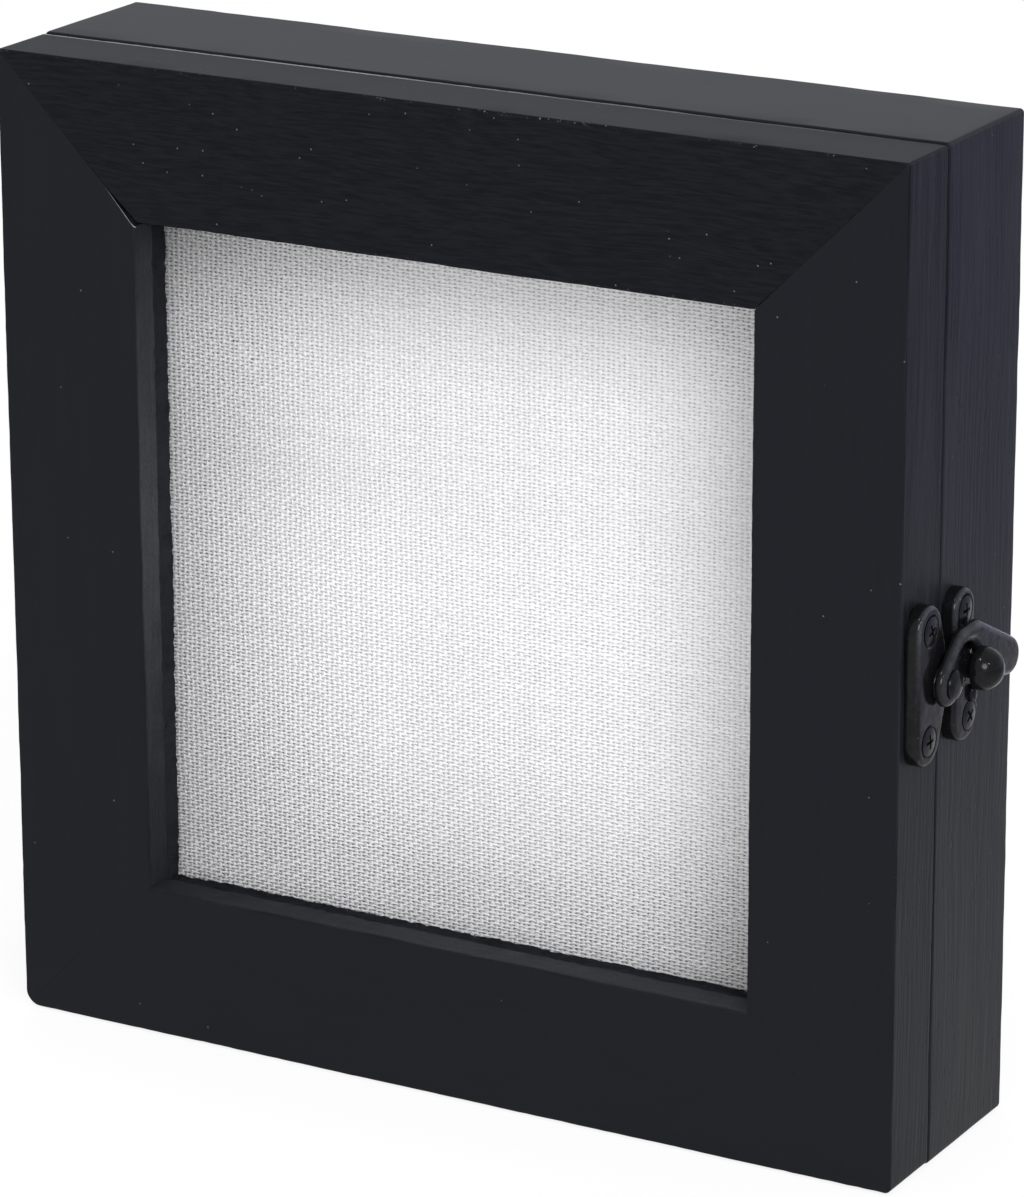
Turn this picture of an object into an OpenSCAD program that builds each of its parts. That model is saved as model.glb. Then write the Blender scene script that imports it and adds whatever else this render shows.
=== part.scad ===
/* [Case] */
// Width across the case, left to right
case_w = 200; // [170:1:260]
// Height of the case
case_h = 203.5; // [170:0.5:260]
// Depth of the box behind the door
box_d = 33.1; // [30:0.1:50]
// Thickness of the four box walls
wall_t = 12; // [11:0.5:16]
// Radius of the eased outer edges
edge_r = 0.6; // [0.5:0.1:1.5]
// Radius of the outer corners, seen from the front
corner_r = 1.2; // [1:0.1:3]

/* [Back] */
// Width of the step that the back panel sits in
back_step_w = 6; // [4:0.5:7]
// How far the back panel lies below the back edge
back_recess = 2.2; // [2.2:0.1:4]
// Thickness of the back panel
panel_t = 3; // [2.5:0.5:4]
// Thickness of the pinning board
board_t = 5; // [4:0.5:8]
// Thickness of the linen on the board
linen_t = 0.8; // [0.5:0.1:1.2]

/* [Door] */
// Width of the door rails, seen from the front
rail_w = 31.5; // [28:0.5:40]
// Thickness of the door
door_t = 16.4; // [16:0.1:20]
// Gap between the door and the box
seam = 0.5; // [0.4:0.1:0.8]
// Clearance under and over the door
door_lift = 0.3; // [0.2:0.1:0.8]
// Thickness of the lip in front of the glass
lip_t = 6.6; // [5:0.1:8]
// Width of the rebate behind the lip
rebate_w = 7.2; // [6.5:0.1:9]
// Thickness of the glass
glass_t = 2; // [1.5:0.1:3]
// Step from the lip's edge back to the bead's face
bead_step = 2.8; // [2:0.1:3.4]

/* [Hinges] */
// Length of each hinge
hinge_l = 25; // [20:1:32]
// Width of a hinge leaf, from the pin outwards
leaf_w = 10; // [9:0.5:12]
// Thickness of a hinge leaf
leaf_t = 0.9; // [0.7:0.1:1.2]
// Radius of the hinge barrel
barrel_r = 1.9; // [1.7:0.1:2.2]
// Radius of the hinge pin
pin_r = 0.9; // [0.7:0.05:1]
// Distance from a hinge's middle to the nearer end of the case
hinge_inset = 38; // [30:1:55]

/* [Latch] */
// Thickness of the two latch plates
plate_t = 3; // [2.4:0.1:3.6]
// Thickness of the swing hook
hook_t = 2.1; // [1.6:0.1:2.6]
// Distance from the middle of the seam to the hook's pivot
pivot_in = 5.2; // [4.9:0.1:5.6]
// Distance from the middle of the seam to the stud
stud_out = 5.1; // [4.9:0.1:5.6]
// Radius of the stud's neck
neck_r = 2.4; // [2:0.1:2.6]
// Radius of the stud's ball head
ball_r = 4.3; // [3.6:0.1:4.6]
// Half of the distance between a plate's two screws
screw_span = 10.9; // [10.4:0.1:12]
// Radius of the rivet that the hook turns on
rivet_r = 1.5; // [1.2:0.1:1.8]
// How far the catch plate's lower screw lies behind its upper one
catch_lean = 2.6; // [0:0.1:3]

/* [Hidden] */
$fn = 64;

// Sides of a frame, as quarter turns from the bottom one
bottom = 0;
left = 1;
top = 2;
right = 3;

// Planes across the depth: the origin lies under the middle of the box
box_front = -box_d / 2;
box_back = box_d / 2;
seam_y = box_front - seam / 2;
door_back = box_front - seam;
door_front = door_back - door_t;
glass_front = door_front + lip_t;
glass_back = glass_front + glass_t;
panel_back = box_back - back_recess;
panel_front = panel_back - panel_t;
linen_front = panel_front - board_t - linen_t;

// Clearances
hold_fit = 0.02;       // round a fastener in its own hole
turn_fit = 0.05;       // round a pin that something turns on
panel_gap = 0.5;       // round the back panel
lining_gap = 0.3;      // round the covered board
glass_gap = 0.6;       // round the glass
bead_gap = 0.1;        // between bead and rebate
bead_flush = 0.2;      // bead below the door's back
knuckle_gap = 0.2;     // between hinge knuckles
hook_gap = 0.2;        // under the hook
head_gap = 0.3;        // between the hook and the stud's head
neck_gap = 0.3;        // round the stud's neck in the hook's slot

// Door outline
door_h = case_h - 2 * door_lift;
seam_edge_r = 0.5;

// Fasteners: radius of head, radius of shank, length
leaf_screw = [1.9, 1, 8];
plate_screw = [2.8, 1.2, 11];
screw_tip = 2;
screw_crown = 0.3;
brad_r = 0.7;
brad_l = 18;
brad_sink = 1;
brad_insets = [9, 21];
brad_planes = [for (inset = brad_insets) box_front + inset];
nail_depth = 7;
nail_leg = 4.6;
nail_w = 0.8;
nail_insets = [9, 19];
pin_brad_r = 0.45;
bead_pin_in = 7;
point_w = 5;
point_l = 9;
point_t = 0.6;
point_in = 4;
point_lift = 0.1;

// Hinges
barrel_gap = 0.15;
pin_x = -case_w / 2 - barrel_r - barrel_gap;
knuckles = 5;
knuckle_l = hinge_l / knuckles;
leaf_root = 0.6;
leaf_screw_y = 6.2;
leaf_screw_end = 4.5;
leaf_screw_z = hinge_l / 2 - leaf_screw_end;
hinge_heights = [hinge_inset, case_h - hinge_inset];

// Latch, on the right side at half height
side_x = case_w / 2;
latch_z = case_h / 2;
pivot_drop = 0.5;
pivot = [seam_y - pivot_in, latch_z - pivot_drop];
stud = [seam_y + stud_out, latch_z];
plate_inset = 4.6;
// Places of the lower and the upper screw in each plate
screw_heights = [latch_z - screw_span, latch_z + screw_span];
hook_depths = [pivot[0] - plate_inset, pivot[0] - plate_inset];
catch_depths = [stud[0] + catch_lean, stud[0]];
plate_lobe_r = 5;
catch_lobe_r = 4.4;
catch_foot_r = 5.3;
catch_foot_rise = 0.6;
catch_waist_r = 3.6;
pivot_lobe_r = 4.3;
boss_r = 3.4;
boss_h = 0.4;
hook_x = side_x + plate_t + boss_h + hook_gap;
hook_top = hook_x + hook_t;
head_x = hook_top + head_gap;
ball_cut = 0.7;
rivet_head_r = 2.9;
rivet_head_h = 1;
rivet_rim = 0.3;
shoulder_w = 0.7;
hook_end_r = 4.5;
slot_turn = 25;
slot_step = 5;

// Sawtooth hanger
hanger_w = 45;
hanger_h = 9;
hanger_t = 0.8;
hanger_rise = 1.2;
hanger_tab = 8;
hanger_ramp = 3;
hanger_drop = 9;
hanger_z = case_h - wall_t - hanger_drop - hanger_h;
tooth = 2.4;
tooth_h = 1.5;
hanger_nail = [1.5, 0.6, 6.5];
hanger_head_h = 0.5;

black = "#26282a";
iron = "#161719";
steel = "#9a9c9e";

function along(r, a) = [r * cos(a), r * sin(a)];
function arc(r, a0, a1, n = 24) = [for (i = [0:n]) along(r, a0 + (a1 - a0) * i / n)];
function heading(p, q) = atan2(q[1] - p[1], q[0] - p[0]);
function at(disc, a) = [disc[0], disc[1]] + along(disc[2], a);
// Angle at which the line on the left of two discs touches both, going from p to q
function touch(p, q) = heading(p, q) + acos((p[2] - q[2]) / norm([q[0] - p[0], q[1] - p[1]]));
// Clockwise arc of a disc's edge from angle a to angle b, or one point where the edge bends in
function round_disc(disc, a, b) =
  let (
    turn = (a - b) - 360 * floor((a - b) / 360),
    steps = max(2, ceil(turn / 9))
  )
  turn > 270
    ? [at(disc, a + (360 - turn) / 2)]
    : [for (i = [0:steps]) at(disc, a - turn * i / steps)];
// Outline that runs clockwise round a ring of discs, each [across, up, radius]
function tour(discs) =
  let (n = len(discs))
  [
    for (i = [0:n - 1])
      let (disc = discs[i], before = discs[(i + n - 1) % n], after = discs[(i + 1) % n])
      each round_disc(disc, touch(before, disc), touch(disc, after))
  ];
function side_length(side, w, h) = side % 2 == 0 ? w : h;
function side_reach(side, w, h) = side % 2 == 0 ? h : w;

// Turns a piece made along the bottom of a w by h frame onto one of its sides
module on_side(side, w, h, z0 = 0)
  translate([0, 0, z0 + h / 2])
    rotate([0, 90 * side, 0])
      translate([0, 0, -side_reach(side, w, h) / 2])
        children();

// Rectangle of depth d and width w; its outer edges are round, front and back
module eased_bar(d, w, r_front, r_back) {
  translate([0, r_front]) square([d / 2, w - r_front]);
  translate([d / 2, r_back]) square([d / 2, w - r_back]);
  translate([r_front, 0]) square([d - r_front - r_back, w]);
  translate([r_front, r_front]) circle(r_front);
  translate([d - r_back, r_back]) circle(r_back);
}

// Outline of a frame side from the front: ends cut at 45 degrees, outer corners round
module mitred_outline(l, k, r)
  intersection() {
    polygon([[-l / 2, 0], [l / 2, 0], [l / 2 - k, k], [-l / 2 + k, k]]);
    union() {
      translate([-l / 2 + r, 0]) square([l - 2 * r, k]);
      translate([-l / 2, r]) square([l, k - r]);
      translate([-l / 2 + r, r]) circle(r);
      translate([l / 2 - r, r]) circle(r);
    }
  }

// One side of a mitred frame; its child is the section, depth across and width up
module frame_side(side, w, h, z0, y0, d, k, r)
  on_side(side, w, h, z0)
    intersection() {
      translate([-side_length(side, w, h) / 2, y0, 0])
        rotate([90, 0, 90])
          linear_extrude(side_length(side, w, h)) children();
      translate([0, y0 + d, 0])
        rotate([90, 0, 0])
          linear_extrude(d) mitred_outline(side_length(side, w, h), k, r);
    }

// Flat plate on the right side of the case, drawn as depth across and height up
module on_right(x0, t)
  translate([x0, 0, 0]) rotate([90, 0, 90]) linear_extrude(t) children();

// Points an upright fastener out of the right or the left side
module head_right(x, y, z) translate([x, y, z]) rotate([0, 90, 0]) children();
module head_left(x, y, z) translate([x, y, z]) rotate([0, -90, 0]) children();

// Countersunk screw, head up, with the top of its cone at the origin
module screw(s, fit = 0, crown = 0)
  rotate_extrude()
    polygon([
      [0, crown], [s[0] * 0.7, crown * 0.75], [s[0] + fit, 0],
      [s[1] + fit, -(s[0] - s[1])], [s[1] + fit, -s[2] + screw_tip], [0, -s[2]]
    ]);

// Box walls

module wall_section()
  difference() {
    eased_bar(box_d, wall_t, seam_edge_r, edge_r);
    translate([box_d - back_recess - panel_t, wall_t - back_step_w])
      square([back_recess + panel_t + 1, back_step_w + 1]);
  }

module wall(side)
  color(black)
    difference() {
      frame_side(side, case_w, case_h, 0, box_front, box_d, wall_t, corner_r) wall_section();
      brads(hold_fit);
      points();
      case_leaf_screws(hold_fit);
      catch_screws(hold_fit);
    }

module brads(fit = 0)
  for (sx = [-1, 1], z = [wall_t / 2, case_h - wall_t / 2], y = brad_planes)
    translate([sx * (case_w / 2 - brad_sink), y, z])
      rotate([0, -90 * sx, 0]) cylinder(h = brad_l, r = brad_r + fit);

// Pointed steel tabs, half driven into the walls behind the panel
module points()
  for (side = [bottom, left, top, right], s = [-1, 1])
    on_side(side, case_w, case_h)
      translate([
        s * side_length(side, case_w, case_h) / 4,
        panel_back + point_lift,
        wall_t - back_step_w
      ])
        rotate([-90, 0, 0])
          linear_extrude(point_t)
            polygon([
              [-point_w / 2, point_in - point_l], [point_w / 2, point_in - point_l],
              [point_w / 2, point_in / 3], [0, point_in], [-point_w / 2, point_in / 3]
            ]);

module plain_panel(w, h, y0, t)
  translate([-w / 2, y0, (case_h - h) / 2]) cube([w, t, h]);

module back_panel()
  color("#6b5138")
    difference() {
      plain_panel(
        case_w - 2 * (wall_t - back_step_w + panel_gap),
        case_h - 2 * (wall_t - back_step_w + panel_gap),
        panel_front, panel_t
      );
      nails(hold_fit);
    }

// Linen is drawn over the board's face and turned down over its four edges
lining_w = case_w - 2 * (wall_t + lining_gap);
lining_h = case_h - 2 * (wall_t + lining_gap);

module pinning_board()
  color("#cdb58a")
    difference() {
      plain_panel(lining_w - 2 * linen_t, lining_h - 2 * linen_t, panel_front - board_t, board_t);
      nails(hold_fit);
    }

module linen_lining()
  color("#efefef")
    difference() {
      plain_panel(lining_w, lining_h, linen_front, linen_t + board_t);
      plain_panel(lining_w - 2 * linen_t, lining_h - 2 * linen_t, panel_front - board_t, board_t + 1);
    }

// Sawtooth hanger

module hanger_section() {
  half = hanger_w / 2;
  step = half - hanger_tab;
  flat = step - hanger_ramp;
  polygon([
    [-half, 0], [-step, 0], [-flat, hanger_rise], [flat, hanger_rise], [step, 0], [half, 0],
    [half, hanger_t], [step + hanger_t / 2, hanger_t], [flat + hanger_t / 2, hanger_rise + hanger_t],
    [-flat - hanger_t / 2, hanger_rise + hanger_t], [-step - hanger_t / 2, hanger_t], [-half, hanger_t]
  ]);
}

module sawtooth_hanger() {
  teeth = floor((hanger_w - 2 * (hanger_tab + hanger_ramp)) / tooth);
  color(steel)
    difference() {
      translate([0, panel_back, hanger_z]) linear_extrude(hanger_h) hanger_section();
      for (i = [0:teeth - 1])
        translate([(i - (teeth - 1) / 2) * tooth, panel_back + hanger_rise + hanger_t + 1, hanger_z])
          rotate([90, 0, 0])
            linear_extrude(hanger_t + 2)
              polygon([[-tooth / 2, -1], [-tooth / 2, 0], [0, tooth_h], [tooth / 2, 0], [tooth / 2, -1]]);
      nails(hold_fit);
    }
}

module nails(fit = 0)
  for (s = [-1, 1])
    translate([s * (hanger_w - hanger_tab) / 2, panel_back + hanger_t, hanger_z + hanger_h / 2])
      rotate([-90, 0, 0]) {
        cylinder(h = hanger_head_h, r = hanger_nail[0]);
        translate([0, 0, -hanger_nail[2]]) cylinder(h = hanger_nail[2], r = hanger_nail[1] + fit);
      }

// Hinges

// Cylinders of the barrel for every other knuckle, made about the pin's axis
module barrel(first, r, gap)
  for (i = [first:2:knuckles - 1])
    translate([0, 0, i * knuckle_l - hinge_l / 2 + gap / 2]) cylinder(h = knuckle_l - gap, r = r);

// dir is 1 for the leaf on the box and -1 for the leaf on the door
module leaf(z, dir, first, bore) {
  bed = -case_w / 2 - pin_x;
  color(iron)
    difference() {
      translate([pin_x, seam_y, z])
        difference() {
          union() {
            barrel(first, barrel_r, knuckle_gap);
            translate([bed - leaf_t, dir > 0 ? leaf_root : -leaf_w, -hinge_l / 2])
              cube([leaf_t, leaf_w - leaf_root, hinge_l]);
          }
          // room for the other leaf's knuckles
          for (i = [1 - first:2:knuckles - 1])
            translate([
              -barrel_r,
              dir > 0 ? 0 : -barrel_r - knuckle_gap,
              i * knuckle_l - hinge_l / 2 - knuckle_gap / 2
            ])
              cube([bed + barrel_r + 1, barrel_r + knuckle_gap, knuckle_l + knuckle_gap]);
          translate([0, 0, -hinge_l / 2 - 1]) cylinder(h = hinge_l + 2, r = pin_r + bore);
        }
      leaf_screws(dir, hold_fit);
    }
}

module leaf_screws(dir, fit = 0)
  for (z = hinge_heights, s = [-1, 1])
    head_left(-case_w / 2 - leaf_t, seam_y + dir * leaf_screw_y, z + s * leaf_screw_z)
      screw(leaf_screw, fit);

module case_leaf_screws(fit = 0) leaf_screws(1, fit);
module door_leaf_screws(fit = 0) leaf_screws(-1, fit);

module hinge_pin(z)
  color(iron) translate([pin_x, seam_y, z - hinge_l / 2]) cylinder(h = hinge_l, r = pin_r);

// Latch

module plate_screws(depths, fit = 0, crown = 0)
  for (i = [0, 1])
    head_right(side_x + plate_t, depths[i], screw_heights[i]) screw(plate_screw, fit, crown);

module hook_screws(fit = 0, crown = 0) plate_screws(hook_depths, fit, crown);
module catch_screws(fit = 0, crown = 0) plate_screws(catch_depths, fit, crown);

// Lobe of a plate round its lower screw, 0, or its upper one, 1
function screw_lobe(depths, i, r) = [depths[i], screw_heights[i], r];

module hook_plate()
  color(iron)
    difference() {
      union() {
        on_right(side_x, plate_t)
          polygon(tour([
            screw_lobe(hook_depths, 1, plate_lobe_r),
            [pivot[0], pivot[1], pivot_lobe_r],
            screw_lobe(hook_depths, 0, plate_lobe_r)
          ]));
        on_right(side_x, plate_t + boss_h) translate(pivot) circle(boss_r);
      }
      on_right(side_x - 1, plate_t + 2) translate(pivot) circle(rivet_r + hold_fit);
      hook_screws(hold_fit);
    }

module catch_plate() {
  waist = [stud[0], stud[1], catch_waist_r];
  foot = [stud[0] + catch_lean / 2, screw_heights[0] + catch_foot_rise, catch_foot_r];
  color(iron)
    difference() {
      on_right(side_x, plate_t)
        polygon(tour([
          screw_lobe(catch_depths, 1, catch_lobe_r), waist,
          foot, waist
        ]));
      on_right(side_x - 1, plate_t + 2) translate(stud) circle(stem_r + hold_fit);
      catch_screws(hold_fit);
    }
}

// Ball stud: a stem through the plate, a shoulder, the neck and a ball cut flat underneath
stem_r = 1.8;

module catch_stud()
  color(iron)
    head_right(side_x, stud[0], stud[1])
      rotate_extrude()
        polygon(concat(
          [
            [0, 0], [stem_r, 0], [stem_r, plate_t], [neck_r + shoulder_w, plate_t],
            [neck_r + shoulder_w, plate_t + boss_h / 2], [neck_r, plate_t + boss_h],
            [neck_r, head_x - side_x]
          ],
          [
            for (p = arc(ball_r, -asin(ball_cut / ball_r), 90))
              [max(p[0], 0), head_x - side_x + ball_cut + p[1]]
          ]
        ));

module hook_rivet()
  color(iron)
    head_right(side_x, pivot[0], pivot[1])
      rotate_extrude()
        polygon(concat(
          [[0, 0], [rivet_r, 0], [rivet_r, hook_top - side_x + turn_fit]],
          [
            for (p = arc(1, 0, 90, 12))
              [
                max(p[0], 0) * rivet_head_r,
                hook_top - side_x + turn_fit + rivet_rim + p[1] * (rivet_head_h - rivet_rim)
              ]
          ]
        ));

// Discs of the hook's horn: over the neck, its crest, the beak behind the neck and the thumb end
horn_start = [pivot[0] + 5.4, pivot[1] + 4.9, 4.4];
horn_crest = [stud[0] + 0.6, stud[1] + 4.5, 4.5];
horn_beak = [stud[0] + 5.8, stud[1] - 0.7, 3.6];
horn_end = [stud[0] + 16.2, stud[1] - 2.6, 3.8];
// Discs of the hook's open eye: beside the arm, under the crest and at its foot
eye_arm = [stud[0] - 4.3, stud[1] + 2.6, 3.1];
eye_crest = [stud[0] - 2.2, stud[1] + 2.6, 3];
eye_foot = [stud[0] - 2, stud[1] - 5, 3];

// Outline round the horn, clockwise from the disc at the pivot; it ends in the eye
function hook_outline() =
  let (
    disc = [pivot[0], pivot[1], hook_end_r],
    t0 = touch(disc, horn_start),
    t1 = touch(horn_start, horn_crest),
    t2 = touch(horn_crest, horn_end),
    t3 = touch(horn_end, horn_beak)
  )
  concat(
    round_disc(disc, 0, t0),
    round_disc(horn_start, t0, t1),
    round_disc(horn_crest, t1, t2),
    round_disc(horn_end, t2, t3),
    round_disc(horn_beak, t3, 180),
    [stud]
  );

// Room for the neck where the hook has turned back by an angle from rest
function neck_room(turn) =
  concat(
    pivot + along(norm(stud - pivot), heading(pivot, stud) - turn),
    neck_r + neck_gap
  );

module swing_hook()
  color(iron)
    on_right(hook_x, hook_t)
      difference() {
        polygon(hook_outline());
        // the way out follows the arc that the neck draws round the pivot
        polygon(tour([
          eye_arm, eye_crest,
          for (turn = [0:slot_step:slot_turn]) neck_room(turn),
          eye_foot
        ]));
        translate(pivot) circle(rivet_r + turn_fit);
      }

// Door

module rail_section()
  difference() {
    eased_bar(door_t, rail_w, edge_r, seam_edge_r);
    translate([lip_t, rail_w - rebate_w]) square([door_t, rebate_w + 1]);
  }

module rail(side)
  color(black)
    difference() {
      frame_side(side, case_w, door_h, door_lift, door_front, door_t, rail_w, corner_r) rail_section();
      corner_nails();
      pins(hold_fit);
      door_leaf_screws(hold_fit);
      hook_screws(hold_fit);
    }

// Bent steel wedges pressed across each mitre from behind
module corner_nails()
  for (sx = [-1, 1], sz = [-1, 1], n = nail_insets)
    translate([sx * (case_w / 2 - n), door_back, case_h / 2 + sz * (door_h / 2 - n)])
      rotate([90, 0, 0])
        linear_extrude(nail_depth)
          rotate(atan2(sz, sx))
            polygon([
              [0, 0], [-nail_leg / 2, nail_leg], [-nail_leg / 2 - nail_w, nail_leg], [-nail_w * 1.2, 0],
              [-nail_leg / 2 - nail_w, -nail_leg], [-nail_leg / 2, -nail_leg]
            ]);

sight_w = case_w - 2 * rail_w;
sight_h = door_h - 2 * rail_w;
rebate_open_w = sight_w + 2 * rebate_w;
rebate_open_h = sight_h + 2 * rebate_w;

module glass_pane()
  color("#dfe7e8", 0.3)
    plain_panel(rebate_open_w - 2 * glass_gap, rebate_open_h - 2 * glass_gap, glass_front, glass_t);

bead_w = rebate_w - bead_step - bead_gap;
bead_d = door_back - glass_back - bead_flush;
bead_ring_w = rebate_open_w - 2 * bead_gap;
bead_ring_h = rebate_open_h - 2 * bead_gap;
bead_edge_r = 0.3;
bead_corner_r = 0.1;

module bead_section()
  difference() {
    square([bead_d, bead_w]);
    difference() {
      translate([bead_d - bead_edge_r, bead_w - bead_edge_r]) square(bead_edge_r + 1);
      translate([bead_d - bead_edge_r, bead_w - bead_edge_r]) circle(bead_edge_r);
    }
  }

module bead(side)
  color(black)
    difference() {
      frame_side(
        side, bead_ring_w, bead_ring_h, (case_h - bead_ring_h) / 2,
        glass_back, bead_d, bead_w, bead_corner_r
      )
        bead_section();
      pins(hold_fit);
    }

// Brads from each bead's inner face into the rail, two a side
module pins(fit = 0)
  for (side = [bottom, left, top, right], s = [-1, 1])
    on_side(side, bead_ring_w, bead_ring_h, (case_h - bead_ring_h) / 2)
      translate([
        s * side_length(side, bead_ring_w, bead_ring_h) / 4,
        glass_back + bead_d / 2,
        bead_w - bead_pin_in - bead_w / 2
      ])
        cylinder(h = bead_pin_in + bead_w / 2, r = pin_brad_r + fit);

wall(top);  // top_wall
wall(bottom);  // bottom_wall
wall(left);  // left_wall
wall(right);  // right_wall
color(steel) brads();  // wall_corner_brads
back_panel();
color(steel) points();  // back_panel_points
pinning_board();
linen_lining();
sawtooth_hanger();
color(steel) nails();  // hanger_nails
leaf(hinge_heights[1], 1, 0, hold_fit);  // upper_hinge_case_leaf
leaf(hinge_heights[0], 1, 0, hold_fit);  // lower_hinge_case_leaf
hinge_pin(hinge_heights[1]);  // upper_hinge_pin
hinge_pin(hinge_heights[0]);  // lower_hinge_pin
color(iron) case_leaf_screws();  // case_hinge_screws
catch_plate();
catch_stud();
color(iron) catch_screws(0, screw_crown);  // catch_plate_screws
rail(top);  // door_top_rail
rail(bottom);  // door_bottom_rail
rail(left);  // door_left_rail
rail(right);  // door_right_rail
color(steel) corner_nails();  // door_corner_nails
glass_pane();
bead(top);  // glazing_bead_top
bead(bottom);  // glazing_bead_bottom
bead(left);  // glazing_bead_left
bead(right);  // glazing_bead_right
color(steel) pins();  // bead_pins
leaf(hinge_heights[1], -1, 1, turn_fit);  // upper_hinge_door_leaf
leaf(hinge_heights[0], -1, 1, turn_fit);  // lower_hinge_door_leaf
color(iron) door_leaf_screws();  // door_hinge_screws
hook_plate();
hook_rivet();
color(iron) hook_screws(0, screw_crown);  // hook_plate_screws
swing_hook();
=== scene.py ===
# Looks of the butterfly display case: black painted wood, glass, linen and a swing hook latch
import math

import bmesh
import bpy
from mathutils import Matrix, Vector, noise


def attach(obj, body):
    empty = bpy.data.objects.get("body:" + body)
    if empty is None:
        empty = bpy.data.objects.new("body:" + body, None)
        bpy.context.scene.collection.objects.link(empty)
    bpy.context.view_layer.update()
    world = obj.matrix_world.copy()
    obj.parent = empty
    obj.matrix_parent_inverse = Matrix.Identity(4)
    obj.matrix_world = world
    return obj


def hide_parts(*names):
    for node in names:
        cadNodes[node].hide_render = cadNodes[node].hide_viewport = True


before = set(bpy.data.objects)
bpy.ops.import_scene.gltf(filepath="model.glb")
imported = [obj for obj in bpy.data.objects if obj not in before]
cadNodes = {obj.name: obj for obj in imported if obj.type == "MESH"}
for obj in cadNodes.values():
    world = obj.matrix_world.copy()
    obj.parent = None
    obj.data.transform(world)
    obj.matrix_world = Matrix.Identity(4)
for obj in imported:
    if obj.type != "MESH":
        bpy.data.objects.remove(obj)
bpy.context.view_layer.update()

mm = 0.001
weldReach = 0.000004  # metres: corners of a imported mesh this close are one
flatReach = 0.00002  # and a face whose corners are all this near a level lies flat at it

# The case's planes and sizes in millimetres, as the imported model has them
case = {
    "width": 200.0, "height": 203.5, "boxFront": -16.55, "boxBack": 16.55, "wall": 12.0,
    "backStep": 6.0, "panelFront": 11.35, "doorFront": -33.45, "doorBack": -17.05,
    "doorLift": 0.3, "rail": 31.5, "glassFront": -26.85, "glassBack": -24.85, "rebate": 7.2,
}
sides = ("top", "bottom", "left", "right")


def addObject(name, data):
    made = bpy.data.objects.new(name, data)
    bpy.context.scene.collection.objects.link(made)
    return made


# Camera, fitted to the photograph's edges

cameraPlan = {
    "place": (0.529435, -0.930504, 0.442509),
    "right": (0.86874, 0.49526, -0.00298),
    "down": (0.15031, -0.26937, -0.95123),
    "forward": (-0.47191, 0.82593, -0.30846),
    "lens": 169.35,  # millimetres, on a film 36 mm along the picture's height
    "film": 36.0,
    "near": 0.05, "far": 50.0,
}


def setCamera(plan):
    lensData = bpy.data.cameras.new("photoCamera")
    lensData.lens, lensData.sensor_width = plan["lens"], plan["film"]
    lensData.clip_start, lensData.clip_end = plan["near"], plan["far"]
    camera = addObject("photoCamera", lensData)
    turn = Matrix((plan["right"], [-v for v in plan["down"]], [-v for v in plan["forward"]])).transposed()
    camera.matrix_world = Matrix.Translation(plan["place"]) @ turn.to_4x4()
    bpy.context.scene.camera = camera


setCamera(cameraPlan)
print("camera set")


# Short names for making nodes


def plug(tree, socket, value):
    if isinstance(value, bpy.types.NodeSocket):
        tree.links.new(value, socket)
    else:
        socket.default_value = value


def addNode(tree, kind, inputs=None, **settings):
    made = tree.nodes.new(kind)
    for name, value in settings.items():
        setattr(made, name, value)
    for name, value in (inputs or {}).items():
        plug(tree, made.inputs[name], value)
    return made


def mathNode(tree, operation, *values, clamp=False):
    made = addNode(tree, "ShaderNodeMath", operation=operation, use_clamp=clamp)
    for i, value in enumerate(values):
        plug(tree, made.inputs[i], value)
    return made.outputs[0]


def plus(tree, first, second, clamp=False):
    return mathNode(tree, "ADD", first, second, clamp=clamp)


def minus(tree, first, second):
    return mathNode(tree, "SUBTRACT", first, second)


def times(tree, first, second, clamp=False):
    return mathNode(tree, "MULTIPLY", first, second, clamp=clamp)


def vectorNode(tree, operation, *values):
    made = addNode(tree, "ShaderNodeVectorMath", operation=operation)
    for i, value in enumerate(values):
        plug(tree, made.inputs[i], value)
    return made.outputs["Value" if operation == "DOT_PRODUCT" else "Vector"]


def combine(tree, x=0.0, y=0.0, z=0.0):
    return addNode(tree, "ShaderNodeCombineXYZ", {"X": x, "Y": y, "Z": z}).outputs[0]


def separate(tree, vector):
    return addNode(tree, "ShaderNodeSeparateXYZ", {"Vector": vector}).outputs


def firstChannel(tree, colour):
    return addNode(tree, "ShaderNodeSeparateColor", {"Color": colour}).outputs[0]


def noiseNode(tree, place, scale, detail, roughness=0.5):
    return addNode(tree, "ShaderNodeTexNoise", {
        "Vector": place, "Scale": scale, "Detail": detail, "Roughness": roughness,
    }).outputs


def swayNode(tree, place, scale, detail, reach):
    # a noise that pushes a place about, by up to half of reach either way
    return vectorNode(tree, "MULTIPLY", vectorNode(
        tree, "SUBTRACT", noiseNode(tree, place, scale, detail)["Color"], (0.5, 0.5, 0.5)), reach)


def rangeNode(tree, value, low, high, toLow=0.0, toHigh=1.0):
    made = addNode(tree, "ShaderNodeMapRange", {
        "Value": value, "From Min": low, "From Max": high, "To Min": toLow, "To Max": toHigh,
    }, interpolation_type="SMOOTHSTEP")
    return made.outputs["Result"]


def mixColour(tree, share, first, second):
    made = addNode(tree, "ShaderNodeMix", data_type="RGBA")
    for i, value in ((0, share), (6, first), (7, second)):
        plug(tree, made.inputs[i], value)
    return made.outputs[2]


def blendShaders(tree, share, first, second, out):
    # first shows where share is 0, second where it is 1
    mix = addNode(tree, "ShaderNodeMixShader", {"Fac": share})
    for i, shader in ((1, first), (2, second)):
        tree.links.new(shader.outputs[0], mix.inputs[i])
    tree.links.new(mix.outputs[0], out.inputs[0])


def markValue(tree, name):
    return addNode(tree, "ShaderNodeAttribute", attribute_name=name).outputs["Fac"]


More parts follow.
